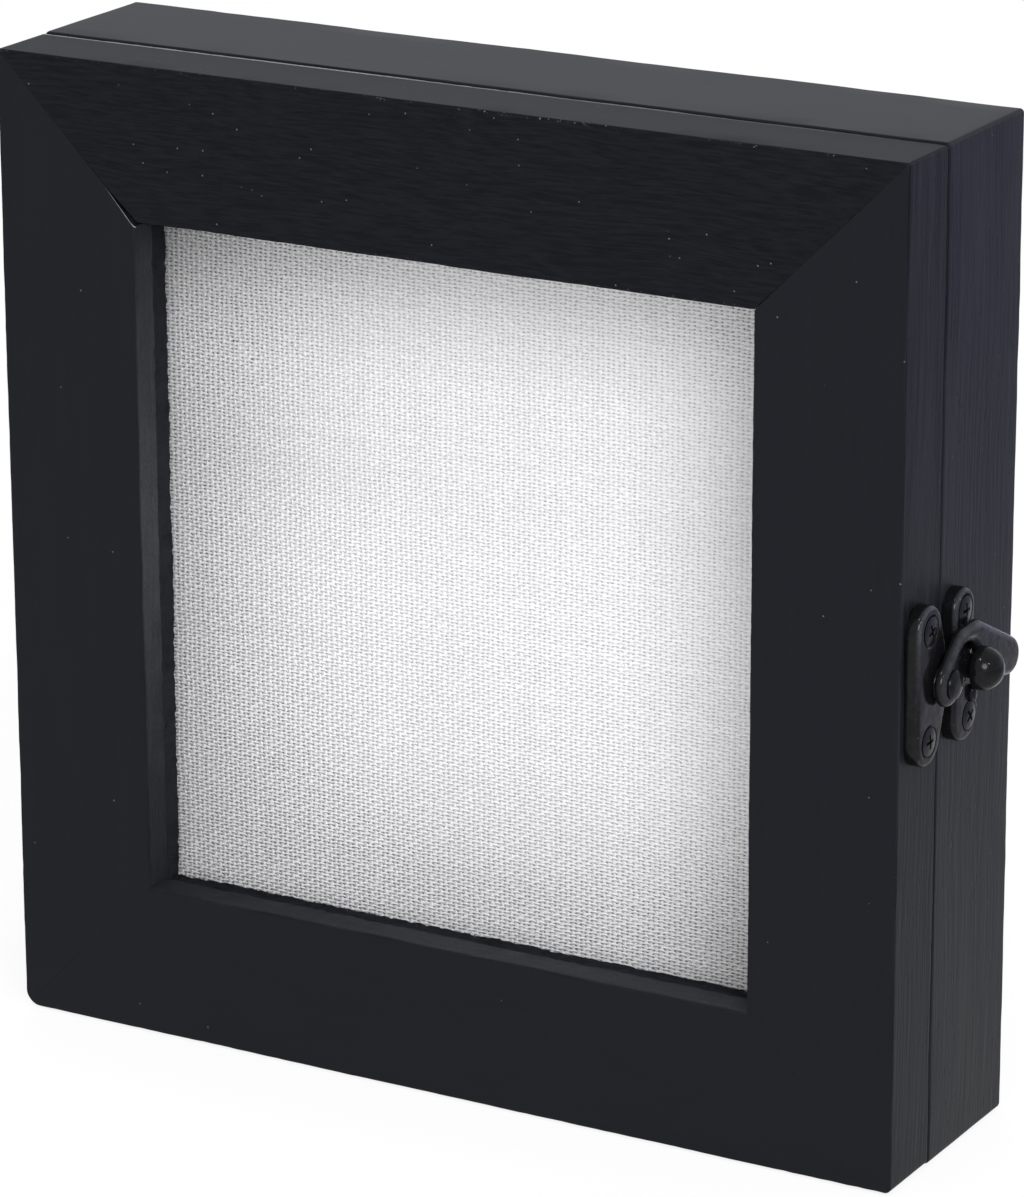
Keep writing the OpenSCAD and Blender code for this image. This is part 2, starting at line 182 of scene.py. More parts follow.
def newGroup(name, inputs, outputs):
    # an input that starts as None is a vector, all the others and the outputs are numbers
    group = bpy.data.node_groups.new(name, "ShaderNodeTree")
    for label, value in inputs.items():
        kind = "NodeSocketVector" if value is None else "NodeSocketFloat"
        socket = group.interface.new_socket(label, in_out="INPUT", socket_type=kind)
        if value is not None:
            socket.default_value = value
    for label in outputs:
        group.interface.new_socket(label, in_out="OUTPUT", socket_type="NodeSocketFloat")
    return group, addNode(group, "NodeGroupInput").outputs, addNode(group, "NodeGroupOutput").inputs


def useGroup(tree, group, inputs):
    return addNode(tree, "ShaderNodeGroup", inputs, node_tree=group).outputs


def clearTree(owner, outputKind):
    owner.use_nodes = True
    owner.node_tree.nodes.clear()
    return owner.node_tree, addNode(owner.node_tree, outputKind)


def newFinish(name, sockets):
    finish = bpy.data.materials.new(name)
    tree, out = clearTree(finish, "ShaderNodeOutputMaterial")
    shader = addNode(tree, "ShaderNodeBsdfPrincipled", sockets)
    tree.links.new(shader.outputs[0], out.inputs[0])
    millimetres = vectorNode(tree, "SCALE", addNode(tree, "ShaderNodeTexCoord").outputs["Object"])
    millimetres.node.inputs["Scale"].default_value = 1.0 / mm
    return finish, tree, shader, millimetres


def bumpInto(tree, shader, height, depth, strength):
    bump = addNode(tree, "ShaderNodeBump", {"Height": height, "Distance": depth * mm, "Strength": strength})
    tree.links.new(bump.outputs[0], shader.inputs["Normal"])


# Shared effects, all in millimetres

grainPlan = {
    "sway": (0.0, 5.0, 5.0), "swayScale": 0.02, "broad": (0.7, 0.16, 0.16), "tone": (0.34, 0.66),
    "pore": (6.0, 1.0, 1.0), "poreScale": 1.35, "poreTone": (0.64, 0.72), "streakHeight": 0.6,
}
edgeWearAndLightPlan = {
    "speckScale": 1.6, "patchScale": 0.07, "patchShare": 0.2, "start": 0.97, "reach": 0.4, "edge": 0.09,
    "lightenedTone": (0.3, 0.6, 0.55, 1.1),
}
weavePlan = {
    "sway": (0.9, 0.0, 0.7), "swayScale": 0.16, "shake": (0.7, 0.0, 0.5), "shakeScale": 0.8,
    "warpUnder": 0.45, "warpOver": 0.55, "weftUnder": 0.45,  # how high each thread lies at a crossing
    "warpGap": (0.2, 0.85, 1.0, 0.2), "weftGap": (0.25, 0.85, 1.0, 0.0),
    "looseScale": 0.9, "loose": (0.34, 0.62, 0.25, 1.25),
    "slub": (0.35, 1.0, 1.4), "slubShare": 0.6, "threadShare": 0.2,
}


def makeBrushGrain():
    plan = grainPlan
    group, given, result = newGroup("brushGrain", {
        "Place": None, "Stroke Length": 26.0, "Stroke Width": 0.55, "Broad Share": 0.45,
    }, ("Streaks", "Height"))
    across = mathNode(group, "DIVIDE", 1.0, given["Stroke Width"])
    along = mathNode(group, "DIVIDE", 1.0, given["Stroke Length"])
    sway = swayNode(group, given["Place"], plan["swayScale"], 1.0, plan["sway"])
    place = vectorNode(group, "ADD", given["Place"], sway)
    place = vectorNode(group, "MULTIPLY", place, combine(group, along, across, across))
    fine = noiseNode(group, place, 1.0, 5.0, 0.62)[0]
    broad = noiseNode(group, vectorNode(group, "MULTIPLY", place, plan["broad"]), 1.0, 3.0)[0]
    streaks = plus(group, times(group, fine, minus(group, 1.0, given["Broad Share"])),
                   times(group, broad, given["Broad Share"]))
    streaks = rangeNode(group, streaks, *plan["tone"])
    pore = noiseNode(group, vectorNode(group, "MULTIPLY", place, plan["pore"]), plan["poreScale"], 2.0)[0]
    height = minus(group, times(group, streaks, plan["streakHeight"]), rangeNode(group, pore, *plan["poreTone"]))
    plug(group, result["Streaks"], streaks)
    plug(group, result["Height"], height)
    return group


# worn edges of the wooden sides, and painted highlight on the latch's rims; the second output is mostly painted
# light and highlight
def makeRubbedEdge():
    plan = edgeWearAndLightPlan
    group, given, result = newGroup("edgeWearAndLight", {
        "Place": None, "Arris": 0.0, "Bare": 0.0, "Amount": 0.4,
    }, ("WornAndLit", "Bare"))
    speck = noiseNode(group, given["Place"], plan["speckScale"], 3.0, 0.7)[0]
    patch = noiseNode(group, given["Place"], plan["patchScale"], 2.0)[0]
    level = plus(group, speck, times(group, patch, plan["patchShare"]))
    start = minus(group, plan["start"], times(group, given["Amount"], plan["reach"]))
    worn = rangeNode(group, minus(group, level, start), 0.0, plan["edge"])
    plug(group, result["WornAndLit"], times(group, worn, given["Arris"]))
    plug(group, result["Bare"], times(group, rangeNode(group, speck, *plan["lightenedTone"]), given["Bare"]))
    return group


def makeFaceWeights():
    group, given, result = newGroup("faceWeights", {
        "Normal": None, "Side": 1.0, "Front": 1.0, "Top": 1.0,
    }, ("Weight",))
    facing = vectorNode(group, "ABSOLUTE", given["Normal"])
    shares = combine(group, given["Side"], given["Front"], given["Top"])
    plug(group, result["Weight"], vectorNode(group, "DOT_PRODUCT", facing, shares))
    return group


def makeDustSpecks(emptyShare=0.55):
    group, given, result = newGroup("dustSpecks", {"Place": None, "Spacing": 4.0, "Size": 0.08}, ("Mask",))
    scale = mathNode(group, "DIVIDE", 1.0, given["Spacing"])
    cells = addNode(group, "ShaderNodeTexVoronoi", {"Vector": given["Place"], "Scale": scale}).outputs
    speck = mathNode(group, "LESS_THAN", cells["Distance"], given["Size"])
    rare = mathNode(group, "GREATER_THAN", firstChannel(group, cells["Color"]), emptyShare)
    plug(group, result["Mask"], times(group, speck, rare))
    return group


def makeLinenWeave():
    plan = weavePlan
    group, given, result = newGroup("linenWeave", {
        "Place": None, "Warp Pitch": 1.2, "Weft Pitch": 0.78,
    }, ("Height", "Gaps", "Threads"))
    sway = swayNode(group, given["Place"], plan["swayScale"], 3.0, plan["sway"])
    shake = swayNode(group, given["Place"], plan["shakeScale"], 1.0, plan["shake"])
    place = vectorNode(group, "ADD", vectorNode(group, "ADD", given["Place"], sway), shake)
    x, _, z = separate(group, place)
    numbers, rounds = [], []  # each thread's number, and how high its round back stands at a place
    for spot, pitch in ((x, "Warp Pitch"), (z, "Weft Pitch")):
        thread = mathNode(group, "DIVIDE", spot, given[pitch])
        numbers.append(mathNode(group, "FLOOR", thread))
        rounds.append(mathNode(group, "SINE", times(group, mathNode(group, "FRACT", thread), math.pi)))
    parity = mathNode(group, "FLOORED_MODULO", plus(group, *numbers), 2.0)
    warpLift = plus(group, plan["warpUnder"], times(group, parity, plan["warpOver"]))
    weftLift = minus(group, 1.0, times(group, parity, plan["weftUnder"]))
    height = mathNode(group, "MAXIMUM", times(group, rounds[0], warpLift), times(group, rounds[1], weftLift))
    between = times(group, rangeNode(group, rounds[0], *plan["warpGap"]),
                    rangeNode(group, rounds[1], *plan["weftGap"]))
    loose = noiseNode(group, given["Place"], plan["looseScale"], 2.0)[0]
    between = times(group, between, rangeNode(group, loose, *plan["loose"]), clamp=True)
    tones = [times(group, addNode(group, "ShaderNodeTexWhiteNoise", {"W": number}, noise_dimensions="1D").outputs[0],
                   plan["threadShare"]) for number in numbers]
    slub = noiseNode(group, vectorNode(group, "MULTIPLY", place, plan["slub"]), 1.0, 3.0)[0]
    threads = plus(group, plus(group, *tones), times(group, slub, plan["slubShare"]))
    for name, value in (("Height", height), ("Gaps", between), ("Threads", threads)):
        plug(group, result[name], value)
    return group


brushGrain, edgeWearAndLight, faceWeights = makeBrushGrain(), makeRubbedEdge(), makeFaceWeights()
dustSpecks, linenWeave = makeDustSpecks(), makeLinenWeave()
print("shared effects made")


# Finishes

# the pale colour for lightened places: painted highlight along the seam, painted light on sight faces and beads, the
# open mitre's front
paintLook = {
    "dark": (0.0012, 0.0014, 0.0022, 1), "light": (0.0112, 0.012, 0.0148, 1), "paler": (0.13, 0.135, 0.155, 1),
    "bare": (0.33, 0.345, 0.38, 1), "tint": (0.8, 0.84, 1.0, 1), "dust": 0.6, "bump": 0.7,
    "rough": 0.44, "streakRough": 0.12, "wornRough": 0.2, "mattRough": 0.45,
}


def blackPaint(name, along, side, front, top, shine=0.108, rubbing=0.4, stroke=(24.0, 0.6), broad=0.45,
               relief=0.05, dusty=(5.0, 0.035)):
    # side, front and top are how strongly brush strokes show on the faces that look that way
    look = paintLook
    finish, tree, shader, place = newFinish(name, {"Specular IOR Level": shine, "Specular Tint": look["tint"]})
    normal = addNode(tree, "ShaderNodeTexCoord").outputs["Normal"]
    weight = useGroup(tree, faceWeights, {"Normal": normal, "Side": side, "Front": front, "Top": top})["Weight"]
    grainPlace = place
    if along == "Z":  # turns the strokes upright
        x, y, z = separate(tree, place)
        grainPlace = combine(tree, z, y, x)
    grain = useGroup(tree, brushGrain, {
        "Place": grainPlace, "Stroke Length": stroke[0], "Stroke Width": stroke[1], "Broad Share": broad,
    })
    toneMarks = useGroup(tree, edgeWearAndLight, {
        "Place": place, "Arris": markValue(tree, "arris"), "Bare": markValue(tree, "bare"), "Amount": rubbing,
    })
    dust = useGroup(tree, dustSpecks, {"Place": place, "Spacing": dusty[0], "Size": dusty[1]})["Mask"]
    shade = plus(tree, times(tree, minus(tree, grain["Streaks"], 0.5), weight), 0.5, clamp=True)
    colour = mixColour(tree, shade, look["dark"], look["light"])
    light = mathNode(tree, "MAXIMUM", toneMarks["WornAndLit"], times(tree, dust, look["dust"]))
    colour = mixColour(tree, light, colour, look["paler"])
    # where a piece is marked lightened the paint goes pale: mostly painted highlight and painted light
    plug(tree, shader.inputs["Base Color"], mixColour(tree, toneMarks["Bare"], colour, look["bare"]))
    rough = plus(tree, look["rough"], times(tree, times(tree, grain["Streaks"], weight), look["streakRough"]))
    rough = plus(tree, rough, times(tree, toneMarks["WornAndLit"], look["wornRough"]))
    rough = plus(tree, rough, times(tree, markValue(tree, "matt"), look["mattRough"]), clamp=True)
    plug(tree, shader.inputs["Roughness"], rough)
    bumpInto(tree, shader, times(tree, grain["Height"], weight), relief, look["bump"])
    return finish


linenLook = {
    "rough": 0.9, "shine": 0.1, "sheen": 0.06, "sheenRough": 0.5, "warp": 1.2, "weft": 0.78,
    "thread": ((0.82, 0.815, 0.83, 1), (0.97, 0.965, 0.975, 1)),
    "cloud": (0.8, 0.785, 0.8, 1), "cloudScale": 0.06, "cloudShare": (0.3, 0.7, 0.0, 0.1),
    "gap": (0.2, 0.195, 0.21, 1), "gapShadeReach": (52.0, 90.0, 0.5, 1.3),  # the gaps are painted darker towards the corners: painted shade
    "lint": (0.07, 0.06, 0.055, 1), "lintSpacing": 16.0, "lintSize": 0.022, "relief": 0.3, "bump": 0.9,
}


def clothFinish(look):
    finish, tree, shader, place = newFinish("whiteLinen", {
        "Roughness": look["rough"], "Specular IOR Level": look["shine"], "Sheen Weight": look["sheen"],
        "Sheen Roughness": look["sheenRough"],
    })
    weave = useGroup(tree, linenWeave, {"Place": place, "Warp Pitch": look["warp"], "Weft Pitch": look["weft"]})
    cloud = rangeNode(tree, noiseNode(tree, place, look["cloudScale"], 3.0)[0], *look["cloudShare"])
    colour = mixColour(tree, cloud, mixColour(tree, weave["Threads"], *look["thread"]), look["cloud"])
    # painted shade: the weave's gaps grow darker with distance from the middle, towards the corners
    off = vectorNode(tree, "SUBTRACT", place, (0.0, 0.0, case["height"] / 2))
    reach = mathNode(tree, "SQRT", vectorNode(tree, "DOT_PRODUCT", off, off))
    shadedGaps = times(tree, weave["Gaps"], rangeNode(tree, reach, *look["gapShadeReach"]), clamp=True)
    colour = mixColour(tree, shadedGaps, colour, look["gap"])
    lint = useGroup(tree, dustSpecks, {"Place": place, "Spacing": look["lintSpacing"], "Size": look["lintSize"]})
    plug(tree, shader.inputs["Base Color"], mixColour(tree, lint["Mask"], colour, look["lint"]))
    bumpInto(tree, shader, weave["Height"], look["relief"], look["bump"])
    return finish


glassLook = {
    "colour": (0.99, 0.989, 0.992, 1), "bend": 1.3, "smearScale": 0.03, "smear": (0.45, 0.75, 0.0, 0.03),
    "lightThrough": (0.978, 0.978, 0.98, 1),
}


def glassFinish(look):
    finish, tree, shader, place = newFinish("clearGlass", {
        "Base Color": look["colour"], "IOR": look["bend"], "Transmission Weight": 1.0,
    })
    smear = noiseNode(tree, place, look["smearScale"], 4.0)[0]
    plug(tree, shader.inputs["Roughness"], rangeNode(tree, smear, *look["smear"]))
    clear = addNode(tree, "ShaderNodeBsdfTransparent", {"Color": look["lightThrough"]})
    rays = addNode(tree, "ShaderNodeLightPath").outputs
    lightRay = mathNode(tree, "MAXIMUM", rays["Is Shadow Ray"], rays["Is Diffuse Ray"])
    blendShaders(tree, lightRay, shader, clear, next(n for n in tree.nodes if n.type == "OUTPUT_MATERIAL"))
    return finish


# painted highlight on the latch's rims comes from the two pale colours here, in specks and more towards the top
enamelLook = {
    "shine": 0.03, "coatRough": 0.09, "coatTint": (0.9, 0.93, 1.0, 1), "peelScale": 1.1, "poolScale": 0.42,
    "tone": ((0.0022, 0.0022, 0.0026, 1), (0.006, 0.006, 0.0068, 1)), "rubbing": 0.5,
    "worn": (0.2, 0.205, 0.22, 1), "bare": (0.36, 0.37, 0.41, 1), "coat": (0.36, 0.64, 0.17, 0.25),
    "dustSpacing": 0.9, "dustSize": 0.1, "rough": (0.3, 0.7, 0.14, 0.26), "dustRough": 0.3,
    "dustLump": 0.6, "poolLump": 2.0, "relief": 0.1, "bump": 0.7,
}


def enamelFinish(look):
    finish, tree, shader, place = newFinish("blackEnamel", {
        "Specular IOR Level": look["shine"], "Coat Roughness": look["coatRough"], "Coat Tint": look["coatTint"],
    })
    peel = noiseNode(tree, place, look["peelScale"], 3.0)[0]
    pool = noiseNode(tree, place, look["poolScale"], 2.0)[0]
    toneMarks = useGroup(tree, edgeWearAndLight, {
        "Place": place, "Arris": markValue(tree, "arris"), "Bare": markValue(tree, "bare"),
        "Amount": look["rubbing"],
    })
    tone = mixColour(tree, toneMarks["WornAndLit"], mixColour(tree, peel, *look["tone"]), look["worn"])
    plug(tree, shader.inputs["Base Color"], mixColour(tree, toneMarks["Bare"], tone, look["bare"]))
    plug(tree, shader.inputs["Coat Weight"], rangeNode(tree, pool, *look["coat"]))
    dust = useGroup(tree, dustSpecks, {
        "Place": place, "Spacing": look["dustSpacing"], "Size": look["dustSize"],
    })["Mask"]
    rough = plus(tree, rangeNode(tree, peel, *look["rough"]), times(tree, dust, look["dustRough"]))
    plug(tree, shader.inputs["Roughness"], rough)
    lumps = plus(tree, peel, times(tree, dust, look["dustLump"]))
    bumpInto(tree, shader, plus(tree, lumps, times(tree, pool, look["poolLump"])), look["relief"], look["bump"])
    return finish


steelLook = {
    "spangleScale": 0.9, "cloudScale": 0.8, "tone": ((0.42, 0.43, 0.44, 1), (0.6, 0.61, 0.62, 1)),
    "rough": (0.3, 0.7, 0.28, 0.5), "relief": 0.03, "bump": 0.5,
}


def steelFinish(look):
    finish, tree, shader, place = newFinish("zincSteel", {"Metallic": 1.0})
    spangle = addNode(tree, "ShaderNodeTexVoronoi", {"Vector": place, "Scale": look["spangleScale"]})
    cloud = noiseNode(tree, place, look["cloudScale"], 4.0)[0]
    tone = mixColour(tree, firstChannel(tree, spangle.outputs["Color"]), *look["tone"])
    plug(tree, shader.inputs["Base Color"], tone)
    plug(tree, shader.inputs["Roughness"], rangeNode(tree, cloud, *look["rough"]))
    bumpInto(tree, shader, cloud, look["relief"], look["bump"])
    return finish


boardLook = {
    "shine": 0.25, "flakeShare": 0.45, "fibreShare": 0.55, "rough": (0.3, 0.7, 0.62, 0.85), "bump": 0.7,
    "cork": {"dark": (0.2, 0.1, 0.045, 1), "light": (0.5, 0.32, 0.16, 1), "spacing": 1.6, "relief": 0.2},
    "hard": {"dark": (0.07, 0.035, 0.018, 1), "light": (0.17, 0.095, 0.05, 1), "spacing": 0.7, "relief": 0.08},
}


def boardFinish(name, look, own):
    finish, tree, shader, place = newFinish(name, {"Specular IOR Level": look["shine"]})
    flakes = addNode(tree, "ShaderNodeTexVoronoi", {"Vector": place, "Scale": 1.0 / own["spacing"]})
    fibre = noiseNode(tree, place, 2.0 / own["spacing"], 5.0, 0.7)[0]
    share = plus(tree, times(tree, firstChannel(tree, flakes.outputs["Color"]), look["flakeShare"]),
                 times(tree, fibre, look["fibreShare"]))
    plug(tree, shader.inputs["Base Color"], mixColour(tree, share, own["dark"], own["light"]))
    plug(tree, shader.inputs["Roughness"], rangeNode(tree, fibre, *look["rough"]))
    bumpInto(tree, shader, share, own["relief"], look["bump"])
    return finish


upright = {"side": 1.0, "top": 0.1, "stroke": (34.0, 1.1), "relief": 0.2}
paintUpright = blackPaint("paintUpright", "Z", front=0.08, **upright)
paintWall = blackPaint("paintWall", "Z", front=0.1, shine=0.15, **upright)
paintAcross = blackPaint("paintAcross", "X", side=0.5, front=0.08, top=0.1)
paintTopRail = blackPaint("paintTopRail", "X", side=0.5, front=0.36, top=0.1, shine=0.052, rubbing=0.6,
                          stroke=(6.5, 0.5), broad=0.15, dusty=(2.7, 0.065))
paintLow = blackPaint("paintLow", "X", side=0.5, front=0.08, top=1.0, stroke=(16.0, 0.7), relief=0.15)
paintBead = blackPaint("paintBead", "X", side=1.0, front=1.0, top=1.0, shine=0.03, rubbing=0.7, relief=0.25,
                       dusty=(1.1, 0.11))
whiteLinen, clearGlass = clothFinish(linenLook), glassFinish(glassLook)
blackEnamel, zincSteel = enamelFinish(enamelLook), steelFinish(steelLook)
corkBoard = boardFinish("corkBoard", boardLook, boardLook["cork"])
hardBoard = boardFinish("hardBoard", boardLook, boardLook["hard"])
print("finishes made")


# Making meshes, in millimetres


def clamped(value):
    return min(1.0, max(0.0, value))


# Edges that turn less than this, in degrees, are shaded smooth
smoothBelow = {"shape": 32.0, "plate": 38.0, "fastener": 35.0, "softened": 40.0}


def shadeByAngle(mesh, kind):
    edited = bmesh.new()
    edited.from_mesh(mesh)
    limit = math.radians(smoothBelow[kind])
    for face in edited.faces:
        face.smooth = True
    for edge in edited.edges:
        edge.smooth = len(edge.link_faces) == 2 and edge.calc_face_angle(0.0) < limit
    edited.to_mesh(mesh)
    edited.free()


def newMesh(name, points, faces):
    mesh = bpy.data.meshes.new(name)
    mesh.from_pydata([[v * mm for v in p] for p in points], [], faces)
    return mesh


def keepPiece(name, mesh, body, stands):
    piece = addObject(name, mesh)
    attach(piece, body)
    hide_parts(*stands)
    return piece


def keepShape(name, points, faces, finish, body, stands, marks=None):
    # marks are values for each point that the finish reads, such as {"arris": [...]}
    mesh = newMesh(name, points, faces)
    for label, values in (marks or {}).items():
        mesh.attributes.new(label, "FLOAT", "POINT").data.foreach_set("value", values)
    mesh.materials.append(finish)
    mesh.validate()
    shadeByAngle(mesh, "shape")
    return keepPiece(name, mesh, body, stands)


def tubeFaces(rows, count, outward):
    # closes a stack of rings of points, with a face over each end
    faces = [[k if outward else count - 1 - k for k in range(count)]]
    for row in range(rows - 1):
        for k in range(count):
            a, b = row * count + k, row * count + (k + 1) % count
            faces.append([a, a + count, b + count, b] if outward else [a, b, b + count, a + count])
    last = [(rows - 1) * count + k for k in range(count)]
    faces.append(last[::-1] if outward else last)
    return faces


def roundSection(corners, steps=4, hold=0.3, span=6.0, sharp=0.15):
    # corners are (depth, inset, radius); returns [(depth, inset, arris)] round the closed section
    outline = []
    count = len(corners)
    for i, (y, u, radius) in enumerate(corners):
        here = Vector((y, u))
        back = (Vector(corners[i - 1][:2]) - here).normalized()
        ahead = (Vector(corners[(i + 1) % count][:2]) - here).normalized()
        turn = back.angle(ahead)
        reach = radius / math.tan(turn / 2)
        centre = here + (back + ahead).normalized() * (radius / math.sin(turn / 2))
        start, end = here + back * reach - centre, here + ahead * reach - centre
        swing = start.angle(end)
        side = 1 if start.x * end.y - start.y * end.x > 0 else -1
        isArris = 1.0 if side < 0 and radius > sharp else 0.0
        outline.append((*(here + back * (reach + hold)), 0.0))
        for k in range(steps + 1):
            angle = side * swing * k / steps
            spoke = Vector((start.x * math.cos(angle) - start.y * math.sin(angle),
                            start.x * math.sin(angle) + start.y * math.cos(angle)))
            outline.append((*(centre + spoke), isArris))
        outline.append((*(here + ahead * (reach + hold)), 0.0))
    full = []
    for i, (y, u, flag) in enumerate(outline):
        full.append((y, u, flag))
        nextY, nextU, _ = outline[(i + 1) % len(outline)]
        extra = int(math.hypot(nextY - y, nextU - u) / span)
        for k in range(1, extra + 1):
            share = k / (extra + 1)
            full.append((y + (nextY - y) * share, u + (nextU - u) * share, 0.0))
    return full


def sidePlace(side, width, height, bottom, s, y, w):
    # s runs along the side, w is how far in from its outer face
    if side == "bottom":
        return (s, y, bottom + w)
    if side == "top":
        return (-s, y, bottom + height - w)
    if side == "left":
        return (-width / 2 + w, y, bottom + height / 2 - s)
    return (width / 2 - w, y, bottom + height / 2 + s)


# The corners at the start and the end of each side
cornersOf = {
    "bottom": ("lowLeft", "lowRight"), "top": ("topRight", "topLeft"),
    "left": ("topLeft", "lowLeft"), "right": ("lowRight", "topRight"),
}
# What all mitred sides share
mitrePlan = {
    "arcSteps": 5, "run": 0.6,  # steps round a corner, and the length of the last ones at a square corner
    "openFrom": 24.4, "openReach": 7.1, "openRise": 0.8,  # how an open mitre widens inwards
    "waveScale": 0.06, "waveDepth": 1.7, "waveShift": (31, 7, 3), "arrisWave": 3.0,
    "nickScale": 0.4, "nickShift": (9, 9, 9), "ragScale": 2.1,
    "grooveEdge": 1.2, "innerFrom": 25.0, "innerArris": 0.3,
}


def mitredSide(side, width, height, bottom, section, look):
    # look gives, by corner, the frame's outer radii, how open and how tight each mitre is; the spacing of points;
    # how deep mitres, waves and nicks are; what is lightened (painted highlight and light, open mitre's front),
    # ragged or matt
    plan = mitrePlan
    half = (width if side in ("top", "bottom") else height) / 2
    straight = max(2, int(half / look["spacing"]))
    steps = straight + plan["arcSteps"]
    waveShift, nickShift = Vector(plan["waveShift"]), Vector(plan["nickShift"])
    front, back = min(y for y, u, flag in section), max(y for y, u, flag in section)
    points, marks = [], {"arris": [], "bare": [], "matt": []}

    def station(u, t, corner):
        # how far along the side, and how far in, the point at step t lies
        radius = look["corners"][corner]
        r = max(radius - u, 0.0)
        openness = look["gap"] * look["tight"].get(corner, 1.0)
        widening = max(0.0, (u - plan["openFrom"]) / plan["openReach"]) ** plan["openRise"]
        openness += look["open"].get(corner, 0.0) * widening
        turnStart = max(radius, u + plan["run"])
        flatEnd = half - turnStart - openness / 2
        if abs(t) <= straight:
            return flatEnd * t / straight, u
        sign = 1 if t > 0 else -1
        k = (abs(t) - straight) / plan["arcSteps"]
        if r > 0:
            angle = math.radians(45) * k
            w = radius - r * math.cos(angle)
            return sign * min(half - radius + r * math.sin(angle), half - w - openness / 2), w
        return sign * (flatEnd + (turnStart - u) * k), u

    for t in range(-steps, steps + 1):
        corner = cornersOf[side][1 if t > 0 else 0]
        groove = look["groove"] * look["tight"].get(corner, 1.0) if abs(t) == steps else 0.0
        for y, u, flag in section:
            s, w = station(u, t, corner)
            x0, y0, z0 = sidePlace(side, width, height, bottom, s, y, w)
            slow = Vector((x0, y0 * plan["waveDepth"], z0)) * plan["waveScale"]
            fine = Vector((x0, y0, z0)) * plan["nickScale"]
            wave, nick = look["wave"] * (plan["arrisWave"] if flag else 1.0), flag * look["nick"]
            dw = wave * noise.noise(slow) + nick * noise.noise(fine)
            dy = wave * noise.noise(slow + waveShift) + nick * noise.noise(fine + nickShift)
            if "ragged" in look and look["ragged"](y, u):
                dw += look["rag"] * noise.noise(fine * plan["ragScale"]) + look["proud"].get(side, 0.0)
            sink = 0.0
            if u < plan["grooveEdge"]:
                dw += groove
            else:
                sink = groove if y < look["middle"] else -groove
            y0 = min(max(y + dy + sink, front), back)
            points.append(sidePlace(side, width, height, bottom, s, y0, max(w + dw, 0.0)))
            marks["arris"].append(flag * (plan["innerArris"] if u > plan["innerFrom"] else 1.0))
            marks["bare"].append(look["bare"](side, corner if abs(t) == steps - 1 else "", (x0, y, z0), u))
            marks["matt"].append(look["matt"].get(side, 0.0) if u > look["mattFrom"] else 0.0)
    return points, tubeFaces(2 * steps + 1, len(section), True), marks


# Where the rails are painted lighter, in millimetres and shares: a painted highlight along the upper seam, a lighter
# front to the open mitre, and painted light on the sight faces
railLightPlan = {
    "seam": 0.62, "seamEnd": 95.0, "seamFade": 120.0, "seamEdge": 0.3,
    "mitreFrom": 25.0, "mitreStart": 28.0, "mitreFade": 2.9, "mitreFront": -32.8,
    "sight": 31.4, "sightFront": -33.1, "sightBack": -27.25,
    "left": (0.014, 0.07), "leftMiddle": 112.0, "leftSpread": 66.0,
    "low": (0.022, 0.035), "lowStart": -60.0, "lowFade": 60.0,
}


def railBare(side, corner, spot, u):
    # painted highlight along the upper seam, fading to the right; lighter along the front of the open mitre; painted
    # light on the sight faces of the left and bottom rails
    toneMarks = railLightPlan
    x, y, z = spot
    if side == "top" and y > railPlan["seamLightLine"] - 0.05 and u < toneMarks["seamEdge"]:
        return toneMarks["seam"] * clamped((toneMarks["seamEnd"] - x) / toneMarks["seamFade"])
    if side == "left" and corner == "topLeft" and u > toneMarks["mitreFrom"] and y < toneMarks["mitreFront"]:
        return min(1.0, (u - toneMarks["mitreStart"]) / toneMarks["mitreFade"])
    # painted light on the left and bottom rails' sight faces, strongest near leftMiddle on the left one and towards
    # the right along the bottom
    if u > toneMarks["sight"] and toneMarks["sightFront"] < y < toneMarks["sightBack"]:
        if side == "left":
            paintedLight, more = toneMarks["left"]
            return paintedLight + more * max(0.0, 1.0 - abs(z - toneMarks["leftMiddle"]) / toneMarks["leftSpread"])
        if side == "bottom":
            paintedLight, more = toneMarks["low"]
            return paintedLight + more * clamped((x - toneMarks["lowStart"]) / toneMarks["lowFade"])
    return 0.0


# painted light on the beads, which lie in shade: more on the left and right ones than on the top and bottom
def beadBare(side, *_):
    return beadPlan["paintedLight"] if side in ("left", "right") else beadPlan["lowPaintedLight"]


railPlan = {
    "corners": {"topLeft": 0.7, "topRight": 0.7, "lowLeft": 3.3, "lowRight": 1.4},
    "spacing": 2.0, "gap": 0.05, "groove": 0.05, "wave": 0.035, "nick": 0.07, "middle": -28.0,
    "open": {"topLeft": 1.9, "topRight": 0.2}, "tight": {"lowLeft": 0.25, "lowRight": 0.25},
    "ragged": lambda y, u: u > 31.0 and y > -27.6, "rag": 0.35, "proud": {},
    "matt": {"bottom": 0.45}, "mattFrom": 31.3, "bare": railBare, "seamLightLine": -18.03, "seamLightStep": 0.12,
    "frontArris": 0.4, "sightArris": 0.6, "seamArris": 0.4, "rebateArris": (0.2, 0.1, 0.25),
    "clear": 0.03,  # from the glass
}
wallPlan = {
    "corners": {"topLeft": 0.9, "topRight": 1.0, "lowLeft": 1.3, "lowRight": 1.3},
    "spacing": 3.5, "gap": 0.05, "groove": 0.04, "wave": 0.035, "nick": 0.06, "middle": 0.0,
    "open": {}, "tight": {}, "matt": {}, "mattFrom": 50.0, "bare": lambda *spot: 0.0,
    "seamArris": 0.45, "backArris": 1.0, "innerArris": 0.3, "stepArris": (0.2, 0.1),
}
